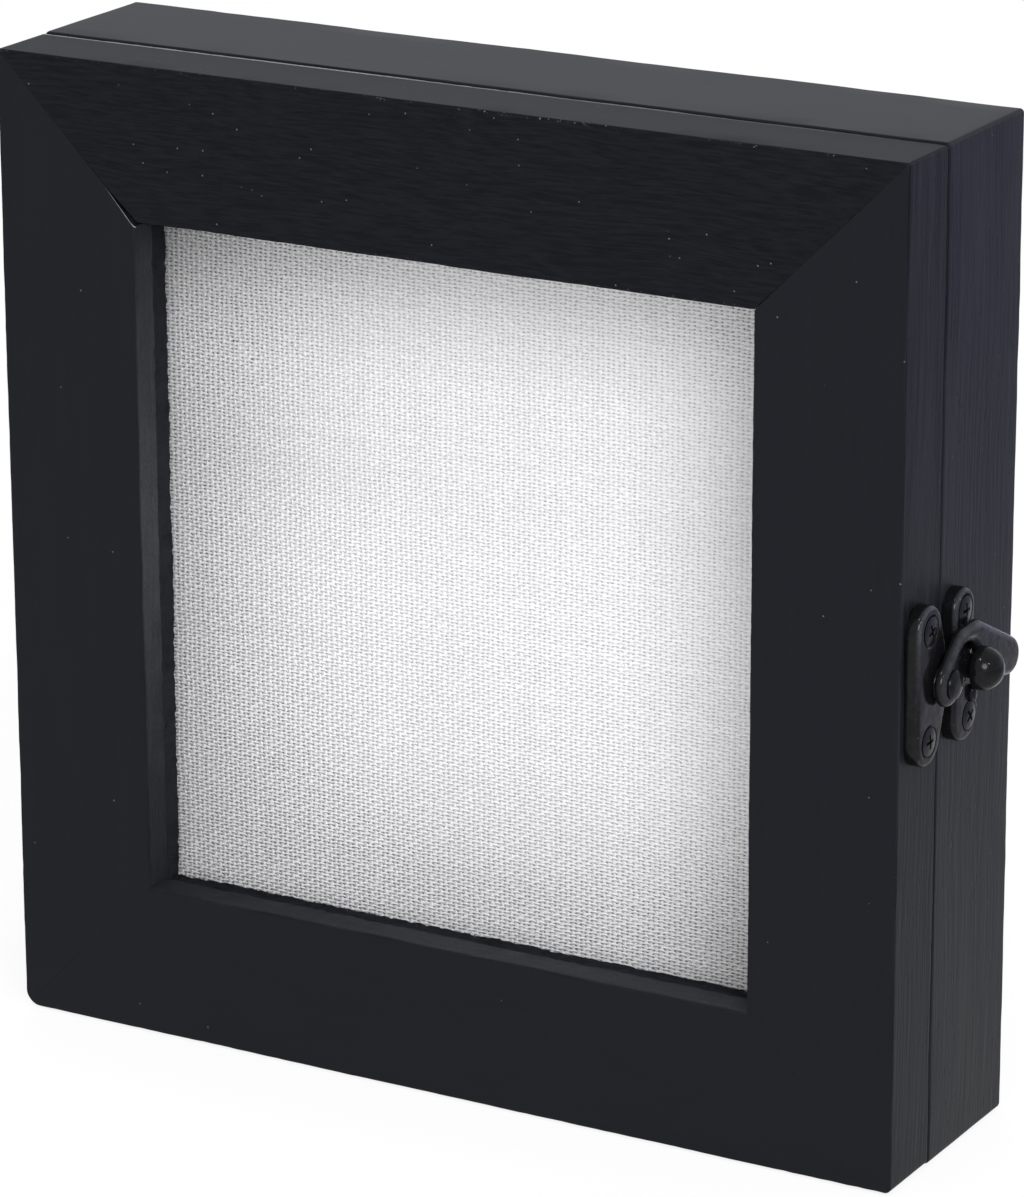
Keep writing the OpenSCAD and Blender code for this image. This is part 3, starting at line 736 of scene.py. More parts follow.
beadPlan = {
    "corners": {"topLeft": 0.1, "topRight": 0.1, "lowLeft": 0.1, "lowRight": 0.1},
    "spacing": 0.9, "gap": 0.12, "groove": 0.05, "wave": 0.06, "nick": 0.16, "middle": -21.0,
    "open": {}, "tight": {}, "matt": {"bottom": 0.6}, "mattFrom": 3.4, "bare": beadBare,
    # the first two values here are painted light on the shaded beads: left and right, then top and bottom
    "paintedLight": 0.022, "lowPaintedLight": 0.012, "ragged": lambda y, u: u > 3.9, "rag": 0.4, "proud": {"bottom": 0.35},
    "arris": 0.35, "hiddenArris": (0.1, 0.15), "depth": 7.6, "width": 4.3, "clear": 0.03, "play": 0.2,
}


def buildSides(kind, node, width, height, bottom, section, look, body, finishes):
    for side in sides:
        points, faces, marks = mitredSide(side, width, height, bottom, section, look)
        keepShape(side + kind, points, faces, finishes[side], body, [node.format(side)], marks)


def buildRails():
    plan, inner, glass = railPlan, case["rail"] - case["rebate"], case["glassFront"] - railPlan["clear"]
    lip, corner, back = plan["rebateArris"]
    section = roundSection([
        (case["doorFront"], 0.0, plan["frontArris"]), (case["doorFront"], case["rail"], plan["sightArris"]),
        (glass, case["rail"], lip), (glass, inner, corner),
        (case["doorBack"], inner, back), (case["doorBack"], 0.0, plan["seamArris"]),
    ])
    # two more points across the top let the painted highlight along the seam end in a sharp line
    line = plan["seamLightLine"]
    last = max(i for i, (y, u, _) in enumerate(section) if y > line and u < 0.01)
    section[last + 1:last + 1] = [(line, 0.0, 0.0), (line - plan["seamLightStep"], 0.0, 0.0)]
    buildSides("Rail", "door_{}_rail", case["width"], case["height"] - 2 * case["doorLift"], case["doorLift"],
               section, plan, "door",
               {"top": paintTopRail, "bottom": paintLow, "left": paintUpright, "right": paintUpright})


def buildWalls():
    plan = wallPlan
    section = roundSection([
        (case["boxFront"], 0.0, plan["seamArris"]), (case["boxFront"], case["wall"], plan["innerArris"]),
        (case["panelFront"], case["wall"], plan["stepArris"][0]),
        (case["panelFront"], case["backStep"], plan["stepArris"][1]),
        (case["boxBack"], case["backStep"], plan["innerArris"]), (case["boxBack"], 0.0, plan["backArris"]),
    ])
    buildSides("Wall", "{}_wall", case["width"], case["height"], 0.0, section, plan, "box",
               {"top": paintAcross, "bottom": paintAcross, "left": paintWall, "right": paintWall})


def buildBeads():
    plan = beadPlan
    width = case["width"] - 2 * case["rail"] + 2 * case["rebate"] - plan["play"]
    height = case["height"] - 2 * case["doorLift"] - 2 * case["rail"] + 2 * case["rebate"] - plan["play"]
    front = case["glassBack"] + plan["clear"]
    back = front + plan["depth"] - plan["clear"]
    section = roundSection([
        (front, 0.0, plan["hiddenArris"][0]), (front, plan["width"], plan["arris"]),
        (back, plan["width"], plan["arris"]), (back, 0.0, plan["hiddenArris"][1]),
    ], hold=0.2)
    buildSides("Bead", "glazing_bead_{}", width, height, (case["height"] - height) / 2, section, plan, "door",
               dict.fromkeys(sides, paintBead))


buildRails()
buildWalls()
buildBeads()
print("wooden sides made")


# Linen drawn over the board and turned down over its edges

linenPlan = {
    "width": 175.4, "height": 178.9, "front": 5.55, "foldBack": 11.3, "thick": 0.7, "fold": 0.9,
    "clear": 0.05, "corner": 1.1, "leastCorner": 0.35, "wave": 0.12, "waveScale": 0.05, "waveLayer": 4.0,
    "insets": (58, 40, 26, 15, 8, 4, 2, 1.2),  # rings of points on the face, from the middle outwards
    "turnDown": (1.6, 3.2), "foldSteps": 5, "cornerSteps": 4, "sideSteps": 24,
}


def buildLinen():
    plan = linenPlan
    half = plan["thick"] / 2
    width, height = plan["width"] / 2 - half, plan["height"] / 2 - half
    front = plan["front"] + half + plan["clear"]
    profile = [(inset, front) for inset in plan["insets"]]
    for k in range(plan["foldSteps"] + 1):
        angle = math.radians(90 * k / plan["foldSteps"])
        profile.append((plan["fold"] * (1 - math.sin(angle)), front + plan["fold"] * (1 - math.cos(angle))))
    profile += [(0.0, front + plan["fold"] + down) for down in plan["turnDown"]] + [(0.0, plan["foldBack"])]

    def outline(inset):
        radius = max(plan["corner"] - inset, plan["leastCorner"])
        w, h = width - inset - radius, height - inset - radius
        steps, sideSteps = plan["cornerSteps"], plan["sideSteps"]
        ring = []
        for cx, cz, start in ((w, h, 0), (-w, h, 90), (-w, -h, 180), (w, -h, 270)):
            for k in range(steps + 1):
                angle = math.radians(start + 90 * k / steps)
                ring.append((cx + radius * math.cos(angle), cz + radius * math.sin(angle)))
        full = []
        for i, (x, z) in enumerate(ring):
            full.append((x, z))
            if i % (steps + 1) == steps:
                nextX, nextZ = ring[(i + 1) % len(ring)]
                full += [(x + (nextX - x) * k / sideSteps, z + (nextZ - z) * k / sideSteps)
                         for k in range(1, sideSteps)]
        return full

    points = []
    for inset, y in profile:
        ring = outline(inset)
        for x, z in ring:  # the face sags a little, in slow waves
            sag = 0.0
            if inset > 1.5:  # the folded edge stays straight
                sag = plan["wave"] * (0.5 + 0.5 * noise.noise(Vector((x, z, plan["waveLayer"])) * plan["waveScale"]))
            points.append((x, y + sag * min(1.0, inset / 10), case["height"] / 2 + z))
    faces = tubeFaces(len(profile), len(ring), True)[:-1]  # open at the back
    cloth = keepShape("linenCover", points, faces, whiteLinen, "box", ["linen_lining"])
    thick = cloth.modifiers.new("clothThickness", "SOLIDIFY")
    thick.thickness, thick.offset = plan["thick"] * mm, 0.0


buildLinen()
print("linen made")


# Latch on the right side, in millimetres: reach x, depth y and height z

latchPlan = {
    "side": 100.0, "plateTop": 103.0, "plateEdge": 1.0, "hookTop": 105.7,
    "pivot": (-22.0, 101.25), "stud": (-11.7, 101.75), "screwSpan": 10.9, "hookPlateScrews": -26.6,
    "catchLean": 2.6,  # how far the catch plate's lower screw lies behind its upper one
    "dishRadius": 3.3, "dishDepth": 1.5, "catchDish": 3.2, "dishOver": 0.6,
    "ball": 4.3, "ballCut": 0.7, "ballStand": 0.3, "ballSteps": 18,
    "rib": {"shift": (3.2, -6.5), "half": (1.15, 1.75), "low": 102.7, "high": 104.1, "edge": 0.9, "foot": 0.05,
            "steps": 28},
    "rimLight": {"plate": 0.11, "rib": 0.2, "hook": 0.14},  # how much painted highlight each rim gets
    "wobble": 0.012,
    # (reach, radius) of what is turned
    "boss": [(102.8, 3.9), (102.98, 3.75), (103.1, 3.45), (103.3, 3.35), (103.4, 3.1)],
    "shank": [(100.2, 1.8), (102.9, 1.8), (102.9, 3.2), (103.2, 3.15), (103.4, 2.75), (103.6, 2.45),
              (104.2, 2.4), (105.6, 2.4), (105.95, 2.6), (106.02, 3.3)],
    "rivet": [(100.2, 1.5), (105.7, 1.5), (105.76, 2.85), (106.0, 2.9), (106.3, 2.75), (106.55, 2.35),
              (106.7, 1.7), (106.76, 0.8), (106.77, 0.2)],
    # (reach, inset) of the hook's edge
    "hookEdge": [(103.6, 0.5), (103.7, 0.2), (103.95, 0.0), (104.4, 0.0), (104.8, 0.1), (105.1, 0.28),
                 (105.35, 0.55), (105.55, 0.9), (105.66, 1.25), (105.7, 1.6)],
}


def outerLoop(source, level, spacing=0.45, passes=2):
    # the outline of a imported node's flat face at x = level, evenly spaced and a little smoothed
    edited = bmesh.new()
    edited.from_mesh(cadNodes[source].data)
    bmesh.ops.remove_doubles(edited, verts=edited.verts, dist=weldReach)
    flat = {f for f in edited.faces if all(abs(v.co.x - level * mm) < flatReach for v in f.verts)}
    ahead = {}
    for face in edited.faces:
        for loop in face.loops:
            if face in flat and sum(g in flat for g in loop.edge.link_faces) == 1:
                ahead[loop.vert.index] = loop.link_loop_next.vert.index
    edited.verts.ensure_lookup_table()
    rings = []
    while ahead:
        here = next(iter(ahead))
        ring = []
        while here in ahead:
            ring.append((edited.verts[here].co.y / mm, edited.verts[here].co.z / mm))
            here = ahead.pop(here)
        rings.append(ring)
    edited.free()

    def area(ring):
        return sum(p[0] * q[1] - q[0] * p[1] for p, q in zip(ring, ring[1:] + ring[:1])) / 2

    ring = max(rings, key=lambda r: abs(area(r)))
    if area(ring) < 0:
        ring.reverse()
    lengths = [math.dist(p, q) for p, q in zip(ring, ring[1:] + ring[:1])]
    count = int(sum(lengths) / spacing)
    even, travelled, index = [], 0.0, 0
    for k in range(count):
        wanted = sum(lengths) * k / count
        while travelled + lengths[index] < wanted:
            travelled += lengths[index]
            index += 1
        share = (wanted - travelled) / lengths[index]
        p, q = ring[index], ring[(index + 1) % len(ring)]
        even.append((p[0] + (q[0] - p[0]) * share, p[1] + (q[1] - p[1]) * share))
    for _ in range(passes):
        even = [((a[0] + 2 * b[0] + c[0]) / 4, (a[1] + 2 * b[1] + c[1]) / 4)
                for a, b, c in zip(even[-1:] + even[:-1], even, even[1:] + even[:1])]
    return even


def castPlate(loop, profile, lumpSize=0.03):
    # stacks copies of a counter-clockwise outline; profile is [(reach, inset)] from the bed to the top
    count = len(loop)
    normals = []
    for k in range(count):
        before, after = loop[k - 1], loop[(k + 1) % count]
        along = Vector((after[0] - before[0], after[1] - before[1])).normalized()
        normals.append(Vector((-along.y, along.x)))
    points = []
    for x, inset in profile:
        for (y, z), normal in zip(loop, normals):
            lump = lumpSize * noise.noise(Vector((x, y, z)) * 0.5)
            points.append((x + lump * 0.6, y + normal.x * (inset + lump), z + normal.y * (inset + lump)))
    return points, tubeFaces(len(profile), count, False)


# how the painted highlight on the latch's rims fades towards the bottom and changes in patches
rimHighlightPlan = {"dull": 0.08, "bottom": 96.0, "span": 17.0, "level": 0.75, "spread": 0.6, "scale": 0.4}


def rimMarks(profile, loop, bright):
    # painted highlight on the rounded rim: strongest half way round it, and the lighter share more towards the top
    plan, turned, paler = rimHighlightPlan, [], []
    for x, inset in profile:
        share = inset / profile[-1][1]
        turned.append(min(1.0, 4.0 * share * (1.0 - share)) if x > profile[1][0] else 0.0)
    for y, z in loop:
        patchy = plan["level"] + plan["spread"] * noise.noise(Vector((y, z, 2.0)) * plan["scale"])
        paler.append(min(1.0, max(plan["dull"], (z - plan["bottom"]) / plan["span"])) * patchy)
    return {"bare": [bright * share * here for share in turned for here in paler],
            "arris": [share for share in turned for _ in loop]}


def edgeProfile(low, high, radius, foot=0.2, steps=5):
    profile = [(low, foot), (low + foot, 0.0), (high - radius - 0.05, 0.0)]
    for k in range(1, steps + 1):
        angle = math.radians(90 * k / steps)
        profile.append((high - radius * (1 - math.sin(angle)), radius * (1 - math.cos(angle))))
    return profile


def lathe(profile, centre, steps=48, wobble=0.0):
    # turns (reach, radius) round a line along X through centre
    points = []
    for x, radius in profile:
        for k in range(steps):
            angle = 2 * math.pi * k / steps
            spoke = Vector((x, radius * math.cos(angle), radius * math.sin(angle)))
            r = radius * (1 + wobble * noise.noise(spoke * 0.45))
            points.append((x, centre[0] + r * math.cos(angle), centre[1] + r * math.sin(angle)))
    return points, tubeFaces(len(profile), steps, False)


def evaluatedMesh(holder):
    bpy.context.view_layer.update()
    return bpy.data.meshes.new_from_object(holder.evaluated_get(bpy.context.evaluated_depsgraph_get()))


def sinkDishes(piece, spots, radius):
    # countersinks a plate where its screws sit
    depth, top, over = latchPlan["dishDepth"], latchPlan["plateTop"], latchPlan["dishOver"]
    for spot in spots:
        points, faces = lathe([(top - depth, radius - depth), (top + over, radius + over)], spot, steps=40)
        cutter = addObject("dishCutter", newMesh("dishCutter", points, faces))
        sink = piece.modifiers.new("dish", "BOOLEAN")
        sink.operation, sink.solver, sink.object = "DIFFERENCE", "EXACT", cutter
        cut = evaluatedMesh(piece)
        piece.modifiers.clear()
        piece.data = cut
        bpy.data.objects.remove(cutter)
    shadeByAngle(piece.data, "plate")


def buildLatch():
    plan = latchPlan
    span, (studY, studZ), rimLight = plan["screwSpan"], plan["stud"], plan["rimLight"]

    def cast(name, loop, profile, body, node, bright):
        points, faces = castPlate(loop, profile)
        marks = rimMarks(profile, loop, bright)
        return keepShape(name, points, faces, blackEnamel, body, [node], marks)

    def turned(name, profile, centre, body, node, wobble):
        points, faces = lathe(profile, centre, wobble=wobble)
        keepShape(name, points, faces, blackEnamel, body, [node])

    plateEdge = edgeProfile(plan["side"], plan["plateTop"], plan["plateEdge"])
    loop = outerLoop("hook_plate", plan["side"])
    hookPlate = cast("hookPlate", loop, plateEdge, "door", "hook_plate", rimLight["plate"])
    sinkDishes(hookPlate, [(plan["hookPlateScrews"], studZ + s * span) for s in (-1, 1)], plan["dishRadius"])
    turned("pivotBoss", plan["boss"], plan["pivot"], "door", "hook_plate", 0.0)

    loop = outerLoop("catch_plate", plan["side"])
    catchPlate = cast("catchPlate", loop, plateEdge, "box", "catch_plate", rimLight["plate"])
    sinkDishes(catchPlate, [(studY, studZ + span), (studY + plan["catchLean"], studZ - span)], plan["catchDish"])
    rib = plan["rib"]
    drop = []
    for k in range(rib["steps"]):
        angle = 2 * math.pi * k / rib["steps"]
        drop.append((studY + rib["shift"][0] + rib["half"][0] * math.cos(angle),
                     studZ + rib["shift"][1] + rib["half"][1] * math.sin(angle)))
    ribEdge = edgeProfile(rib["low"], rib["high"], rib["edge"], rib["foot"])
    cast("catchRib", drop, ribEdge, "box", "catch_plate", rimLight["rib"])

    ball = plan["ball"]
    ballX = plan["hookTop"] + plan["ballStand"] + plan["ballCut"]
    start = -math.asin(plan["ballCut"] / ball)
    stud = list(plan["shank"])
    for k in range(plan["ballSteps"] + 1):
        angle = start + (math.pi / 2 - 0.02 - start) * k / plan["ballSteps"]  # a small flat closes the ball
        stud.append((ballX + ball * math.sin(angle), ball * math.cos(angle)))
    turned("catchStud", stud, plan["stud"], "box", "catch_stud", plan["wobble"])

    loop = outerLoop("swing_hook", plan["hookTop"], passes=4)
    cast("swingHook", loop, plan["hookEdge"], "hook", "swing_hook", rimLight["hook"])
    turned("hookRivet", plan["rivet"], plan["pivot"], "door", "hook_rivet", plan["wobble"])


buildLatch()
print("latch made")


# Screws and pins, set by geometry nodes on points that carry their direction


def newGeometryTree(name, sizes):
    # sizes are in millimetres; the last input is the material
    tree = bpy.data.node_groups.new(name, "GeometryNodeTree")
    tree.interface.new_socket("Geometry", in_out="INPUT", socket_type="NodeSocketGeometry")
    for label, value in sizes.items():
        socket = tree.interface.new_socket(label, in_out="INPUT", socket_type="NodeSocketFloat")
        socket.default_value = value * mm
    tree.interface.new_socket("Finish", in_out="INPUT", socket_type="NodeSocketMaterial")
    tree.interface.new_socket("Geometry", in_out="OUTPUT", socket_type="NodeSocketGeometry")
    return tree, addNode(tree, "NodeGroupInput").outputs, addNode(tree, "NodeGroupOutput").inputs


def onSpots(tree, given, result, head, shankRadius, shankTop, vertices):
    # adds the shank under the head and sets the whole on every spot
    shank = addNode(tree, "GeometryNodeMeshCylinder", {
        "Vertices": vertices, "Radius": shankRadius, "Depth": given["Length"],
    })
    sunk = addNode(tree, "GeometryNodeTransform", {
        "Geometry": shank.outputs["Mesh"],
        "Translation": combine(tree, z=minus(tree, shankTop, times(tree, given["Length"], 0.5))),
    })
    whole = addNode(tree, "GeometryNodeJoinGeometry")
    for shape in (head, sunk.outputs[0]):
        tree.links.new(shape, whole.inputs[0])
    aim = addNode(tree, "GeometryNodeInputNamedAttribute", {"Name": "aim"}, data_type="FLOAT_VECTOR")
    turn = addNode(tree, "GeometryNodeInputNamedAttribute", {"Name": "turn"}, data_type="FLOAT")
    facing = addNode(tree, "FunctionNodeAlignRotationToVector", {"Vector": aim.outputs["Attribute"]}, axis="Z")
    spin = addNode(tree, "FunctionNodeAxisAngleToRotation", {"Axis": (0, 0, 1), "Angle": turn.outputs["Attribute"]})
    both = addNode(tree, "FunctionNodeRotateRotation", {
        "Rotation": facing.outputs[0], "Rotate By": spin.outputs[0],
    }, rotation_space="LOCAL")
    spots = addNode(tree, "GeometryNodeInstanceOnPoints", {
        "Points": given["Geometry"], "Instance": whole.outputs[0], "Rotation": both.outputs[0],
    })
    real = addNode(tree, "GeometryNodeRealizeInstances", {"Geometry": spots.outputs[0]})
    dressed = addNode(tree, "GeometryNodeSetMaterial", {"Geometry": real.outputs[0], "Material": given["Finish"]})
    tree.links.new(dressed.outputs[0], result[0])


def crownOffset(tree, radius, crown):
    # raises what is near the axis: crown * (1 - (distance / radius) squared) on the upper face
    x, y, z = separate(tree, addNode(tree, "GeometryNodeInputPosition").outputs[0])
    reach = plus(tree, mathNode(tree, "POWER", x, 2.0), mathNode(tree, "POWER", y, 2.0))
    share = mathNode(tree, "DIVIDE", reach, mathNode(tree, "POWER", radius, 2.0))
    upper = mathNode(tree, "GREATER_THAN", z, -0.00001)
    return combine(tree, z=times(tree, times(tree, minus(tree, 1.0, share), crown), upper))


screwPlan = {"slotDepth": 1.8, "slotTaper": -0.45, "shankShare": 0.98}


def makeScrewTree():
    tree, size, result = newGeometryTree("crossHeadScrews", {
        "Head Radius": 2.8, "Crown": 0.3, "Head Depth": 1.4, "Shank Radius": 1.2, "Length": 11.0,
        "Slot Length": 3.4, "Slot Width": 0.7,
    })
    below = times(tree, size["Head Depth"], -1.0)
    cone = addNode(tree, "GeometryNodeMeshCone", {
        "Vertices": 40, "Side Segments": 1, "Fill Segments": 5, "Radius Top": size["Head Radius"],
        "Radius Bottom": size["Shank Radius"], "Depth": size["Head Depth"],
    }, fill_type="NGON")
    lowered = addNode(tree, "GeometryNodeTransform", {
        "Geometry": cone.outputs["Mesh"], "Translation": combine(tree, z=below),
    })
    crowned = addNode(tree, "GeometryNodeSetPosition", {
        "Geometry": lowered.outputs[0], "Offset": crownOffset(tree, size["Head Radius"], size["Crown"]),
    })
    cut = addNode(tree, "GeometryNodeMeshBoolean", operation="DIFFERENCE", solver="EXACT")
    tree.links.new(crowned.outputs[0], cut.inputs[0])
    for long, wide in (("Slot Length", "Slot Width"), ("Slot Width", "Slot Length")):
        bar = addNode(tree, "GeometryNodeMeshCube", {
            "Size": combine(tree, size[long], size[wide], screwPlan["slotDepth"] * mm),
        })
        place = addNode(tree, "GeometryNodeInputPosition").outputs[0]
        deep = mathNode(tree, "LESS_THAN", separate(tree, place)[2], 0.0)
        shrink = times(tree, deep, screwPlan["slotTaper"])
        narrowed = addNode(tree, "GeometryNodeSetPosition", {
            "Geometry": bar.outputs[0],
            "Offset": vectorNode(tree, "MULTIPLY", place, combine(tree, shrink, shrink)),
        })
        tree.links.new(narrowed.outputs[0], cut.inputs[1])
    shankRadius = times(tree, size["Shank Radius"], screwPlan["shankShare"])
    onSpots(tree, size, result, cut.outputs[0], shankRadius, below, 16)
    return tree


def makePinTree():
    tree, size, result = newGeometryTree("roundPins", {
        "Head Radius": 0.7, "Head Height": 0.25, "Shank Radius": 0.42, "Length": 6.0,
    })
    ball = addNode(tree, "GeometryNodeMeshUVSphere", {"Segments": 20, "Rings": 10, "Radius": 1.0})
    dome = addNode(tree, "GeometryNodeTransform", {
        "Geometry": ball.outputs["Mesh"],
        "Scale": combine(tree, size["Head Radius"], size["Head Radius"], size["Head Height"]),
    })
    onSpots(tree, size, result, dome.outputs[0], size["Shank Radius"], 0.0, 12)
    return tree


def setFasteners(name, tree, spots, sizes, finish, body, stands):
    # spots are (place, direction, turn) in millimetres and degrees
    mesh = newMesh(name + "Spots", [place for place, _, _ in spots], [])
    aims, turns = [v for _, aim, _ in spots for v in aim], [math.radians(turn) for _, _, turn in spots]
    mesh.attributes.new("aim", "FLOAT_VECTOR", "POINT").data.foreach_set("vector", aims)
    mesh.attributes.new("turn", "FLOAT", "POINT").data.foreach_set("value", turns)
    holder = addObject(name + "Spots", mesh)
    setting = holder.modifiers.new("setFasteners", "NODES")
    setting.node_group = tree
    for item in tree.interface.items_tree:
        if item.in_out == "INPUT" and item.name in sizes:
            setting[item.identifier] = sizes[item.name] * mm
        if item.in_out == "INPUT" and item.name == "Finish":
            setting[item.identifier] = finish
    made = evaluatedMesh(holder)
    made.name = name
    bpy.data.objects.remove(holder)
    shadeByAngle(made, "fastener")
    keepPiece(name, made, body, [stands])


screwTree, pinTree = makeScrewTree(), makePinTree()

# Sizes of each kind, then where they sit, in millimetres
fastenerPlan = {
    "plate": {"Head Radius": 2.8, "Crown": 0.3, "Head Depth": 1.5, "Shank Radius": 1.2, "Length": 9.0,
              "Slot Length": 3.5, "Slot Width": 0.75},
    "hinge": {"Head Radius": 1.85, "Crown": 0.1, "Head Depth": 0.9, "Shank Radius": 0.95, "Length": 6.5,
              "Slot Length": 2.3, "Slot Width": 0.5},
    "bead": {"Head Radius": 0.6, "Head Height": 0.12, "Shank Radius": 0.42, "Length": 7.0},
    "hanger": {"Head Radius": 1.5, "Head Height": 0.5, "Shank Radius": 0.55, "Length": 6.0},
    "hingeHeight": 38.0, "hingeSpan": 8.0, "hingeReach": 6.2, "hingeLine": (-100.9, -16.8),
    "beadRing": (151.2, 154.1), "beadWidth": 4.3, "beadDepth": -21.05,
    "hangerSpan": 18.5, "hangerPlace": (15.2, 178.0),
}


def buildFasteners():
    latch, plan, height = latchPlan, fastenerPlan, case["height"]
    span, top, (studY, studZ) = latch["screwSpan"], latch["plateTop"], latch["stud"]
    right, left, up, down, back = (1, 0, 0), (-1, 0, 0), (0, 0, 1), (0, 0, -1), (0, 1, 0)

    def screws(name, spots, kind, body, node):
        setFasteners(name, screwTree, spots, plan[kind], blackEnamel, body, node)

    spots = [((top, latch["hookPlateScrews"], studZ + s * span), right, turn) for s, turn in ((1, 22), (-1, 4))]
    screws("hookPlateScrews", spots, "plate", "door", "hook_plate_screws")
    spots = [((top, studY + lean, studZ + s * span), right, turn)
             for s, lean, turn in ((1, 0.0, 2), (-1, latch["catchLean"], 38))]
    screws("catchPlateScrews", spots, "plate", "box", "catch_plate_screws")
    x, y = plan["hingeLine"]
    for name, reach, body, node in (("caseHingeScrews", plan["hingeReach"], "box", "case_hinge_screws"),
                                    ("doorHingeScrews", -plan["hingeReach"], "door", "door_hinge_screws")):
        spots = [((x, y + reach, z + s * plan["hingeSpan"]), left, 17 * i + 40 * s)  # no two slots turned alike
                 for i, z in enumerate((plan["hingeHeight"], height - plan["hingeHeight"])) for s in (-1, 1)]
        screws(name, spots, "hinge", body, node)

    (ringW, ringH), y, edge, middle = plan["beadRing"], plan["beadDepth"], plan["beadWidth"], height / 2
    spots = []
    for s in (-1, 1):
        spots += [((s * ringW / 4, y, middle - ringH / 2 + edge), up, 0),
                  ((s * ringW / 4, y, middle + ringH / 2 - edge), down, 0),
                  ((-ringW / 2 + edge, y, middle + s * ringH / 4), right, 0),
                  ((ringW / 2 - edge, y, middle + s * ringH / 4), left, 0)]
    setFasteners("beadPins", pinTree, spots, plan["bead"], paintBead, "door", "bead_pins")
    spots = [((s * plan["hangerSpan"], *plan["hangerPlace"]), back, 0) for s in (-1, 1)]
    setFasteners("hangerNails", pinTree, spots, plan["hanger"], zincSteel, "box", "hanger_nails")


buildFasteners()
print("screws and pins set")


# Hinges and what is on the back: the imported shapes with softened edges

softPlan = {"leaf": 0.14, "pin": 0.35, "board": 0.3, "steel": 0.12, "flat": 1.5, "sharp": 35.0}


def softCopy(name, source, body, finish, edge, steps=2):
    mesh = cadNodes[source].data.copy()
    mesh.name = name
    edited = bmesh.new()
    edited.from_mesh(mesh)
    bmesh.ops.remove_doubles(edited, verts=edited.verts, dist=weldReach)
    bmesh.ops.dissolve_limit(edited, angle_limit=math.radians(softPlan["flat"]), verts=edited.verts,
                             edges=edited.edges)
    limit = math.radians(softPlan["sharp"])
    sharp = [e for e in edited.edges if len(e.link_faces) == 2 and e.calc_face_angle(0.0) > limit]
    bmesh.ops.bevel(edited, geom=sharp, offset=softPlan[edge] * mm, segments=steps, profile=0.5,
                    affect="EDGES", clamp_overlap=True)
    edited.to_mesh(mesh)
    edited.free()
    shadeByAngle(mesh, "softened")
    mesh.materials.clear()
    mesh.materials.append(finish)
    keepPiece(name, mesh, body, [source])


def buildSoftened():
    for end in ("upper", "lower"):
        softCopy(end + "CaseLeaf", end + "_hinge_case_leaf", "box", blackEnamel, "leaf")
        softCopy(end + "DoorLeaf", end + "_hinge_door_leaf", "door", blackEnamel, "leaf")
        softCopy(end + "HingePin", end + "_hinge_pin", "box", blackEnamel, "pin", 3)
    softCopy("backBoard", "back_panel", "box", hardBoard, "board")
    softCopy("boardPoints", "back_panel_points", "box", zincSteel, "steel")
    softCopy("toothedHanger", "sawtooth_hanger", "box", zincSteel, "steel")


buildSoftened()
print("hinges and back made")


# Light, floor and background

stagePlan = {
    "white": (1, 1, 1, 1), "skyLight": 0.86, "skyInGloss": (0.91, 0.93, 1.0, 1),
    "floorColour": (0.8, 0.8, 0.8, 1), "floorGlow": 1.04, "floorGlowShare": 0.8,
    "farGlow": (0.37, 0.385, 0.68, 1), "farStart": 0.12, "farEnd": 0.5,  # the floor to the right, as gloss shows it
    "farLean": 0.3, "floorReach": 6.0, "floorDrop": 0.0002,
    "lamps": {
        "softKey": {"place": (1.45, -1.85, 1.15), "size": 1.2, "power": 44.5},
        "topStrip": {"place": (0.15, -0.95, 1.8), "size": 0.25, "power": 3.7},
        "smallSide": {"place": (1.5, -0.6, 1.15), "size": 0.16, "power": 4.5},
    },
    "target": (0.0, 0.0, 0.1),
}


def glossRay(tree):
    return addNode(tree, "ShaderNodeLightPath").outputs["Is Glossy Ray"]


def seenDirectly(tree):
    rays = addNode(tree, "ShaderNodeLightPath").outputs
    seen = mathNode(tree, "MAXIMUM", rays["Is Camera Ray"], rays["Is Glossy Ray"])
    return mathNode(tree, "MAXIMUM", seen, rays["Is Transmission Ray"])


def setSky(plan):
    # even light on the object, and plain white wherever the sky itself is seen
    world = bpy.data.worlds.new("paleRoom")
    bpy.context.scene.world = world
    tree, out = clearTree(world, "ShaderNodeOutputWorld")
    room = addNode(tree, "ShaderNodeBackground", {"Color": plan["white"], "Strength": plan["skyLight"]})
    white = addNode(tree, "ShaderNodeBackground", {
        "Color": mixColour(tree, glossRay(tree), plan["white"], plan["skyInGloss"]), "Strength": 1.0,
    })
    blendShaders(tree, seenDirectly(tree), room, white, out)


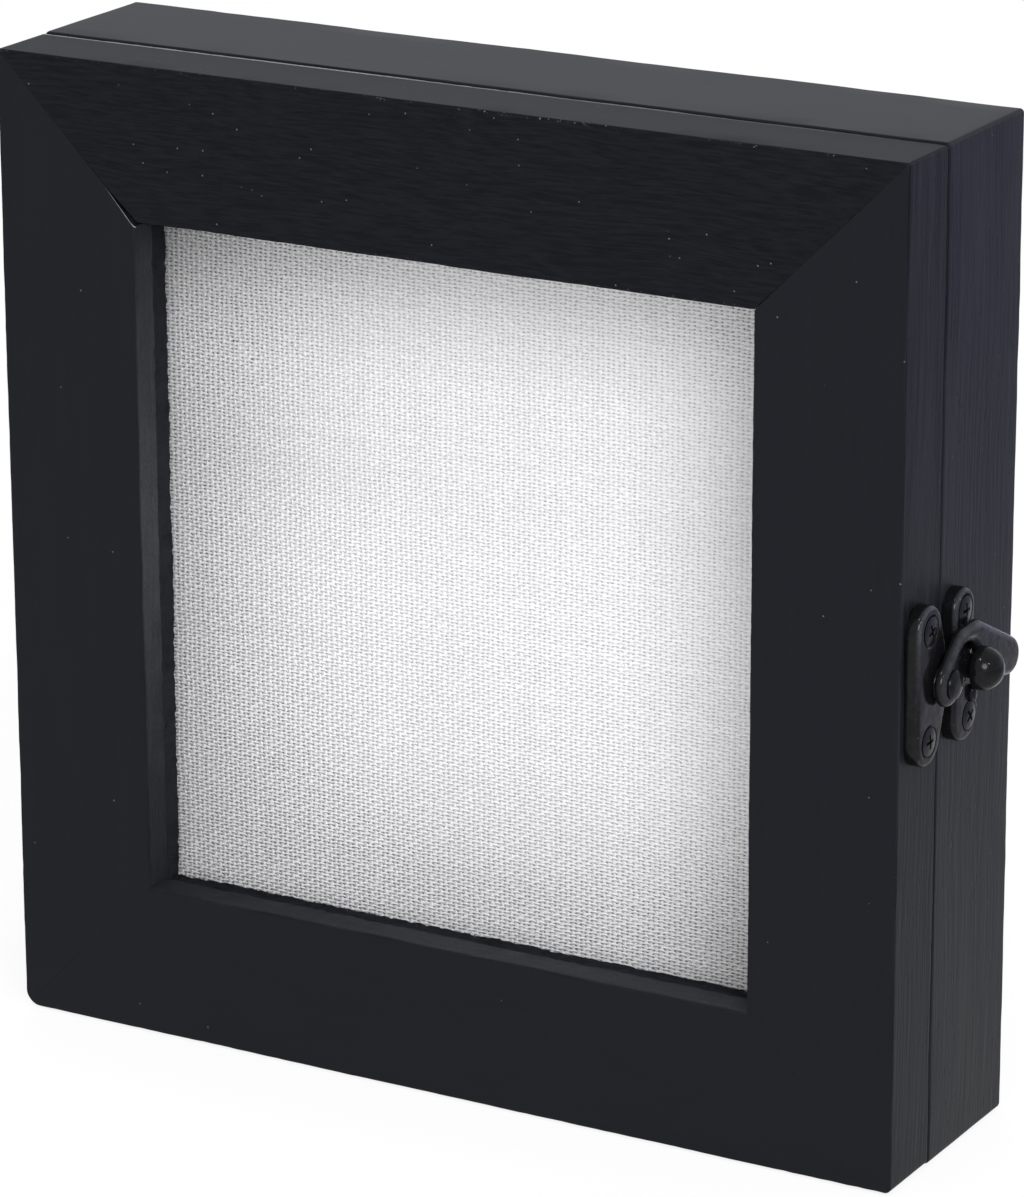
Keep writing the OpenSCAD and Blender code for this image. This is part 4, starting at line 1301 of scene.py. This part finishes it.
def setFloor(plan):
    # matt paper that keeps shadows, with a glow that brings what is seen up to white
    reach, z = plan["floorReach"], -plan["floorDrop"]
    floorMesh = bpy.data.meshes.new("floor")
    corners = ((-1, -1), (1, -1), (1, 1), (-1, 1))
    floorMesh.from_pydata([(x * reach, y * reach, z) for x, y in corners], [], [(0, 1, 2, 3)])
    floor = addObject("floor", floorMesh)
    paper = bpy.data.materials.new("floorPaper")
    tree, out = clearTree(paper, "ShaderNodeOutputMaterial")
    matt = addNode(tree, "ShaderNodeBsdfDiffuse", {"Color": plan["floorColour"]})
    x, y, _ = separate(tree, addNode(tree, "ShaderNodeTexCoord").outputs["Object"])
    far = rangeNode(tree, plus(tree, x, times(tree, y, plan["farLean"])), plan["farStart"], plan["farEnd"])
    far = times(tree, far, glossRay(tree))
    glow = addNode(tree, "ShaderNodeEmission", {
        "Color": mixColour(tree, far, plan["white"], plan["farGlow"]), "Strength": plan["floorGlow"],
    })
    blendShaders(tree, times(tree, seenDirectly(tree), plan["floorGlowShare"]), matt, glow, out)
    floorMesh.materials.append(paper)


def setLamps(plan):
    for name, lampPlan in plan["lamps"].items():
        lampData = bpy.data.lights.new(name, "AREA")
        lampData.energy, lampData.size, lampData.shape = lampPlan["power"], lampPlan["size"], "DISK"
        lamp = addObject(name, lampData)
        aim = Vector(plan["target"]) - Vector(lampPlan["place"])
        lamp.matrix_world = Matrix.Translation(lampPlan["place"]) @ aim.to_track_quat("-Z", "Y").to_matrix().to_4x4()


setSky(stagePlan)
setFloor(stagePlan)
setLamps(stagePlan)
bpy.context.scene.view_settings.view_transform = "Standard"
print("stage set")


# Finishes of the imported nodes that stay


def dressNodes():
    finishes = {
        "painted_wood": paintUpright, "black_metal": blackEnamel, "steel_fastener": zincSteel,
        "clear_glass": clearGlass, "linen": whiteLinen, "cork_board": corkBoard, "back_board": hardBoard,
    }
    for node in cadNodes.values():
        for place in node.material_slots:
            if place.material:
                place.material = finishes.get(place.material.name.split(".")[0], blackEnamel)


dressNodes()
print("packed nodes dressed")
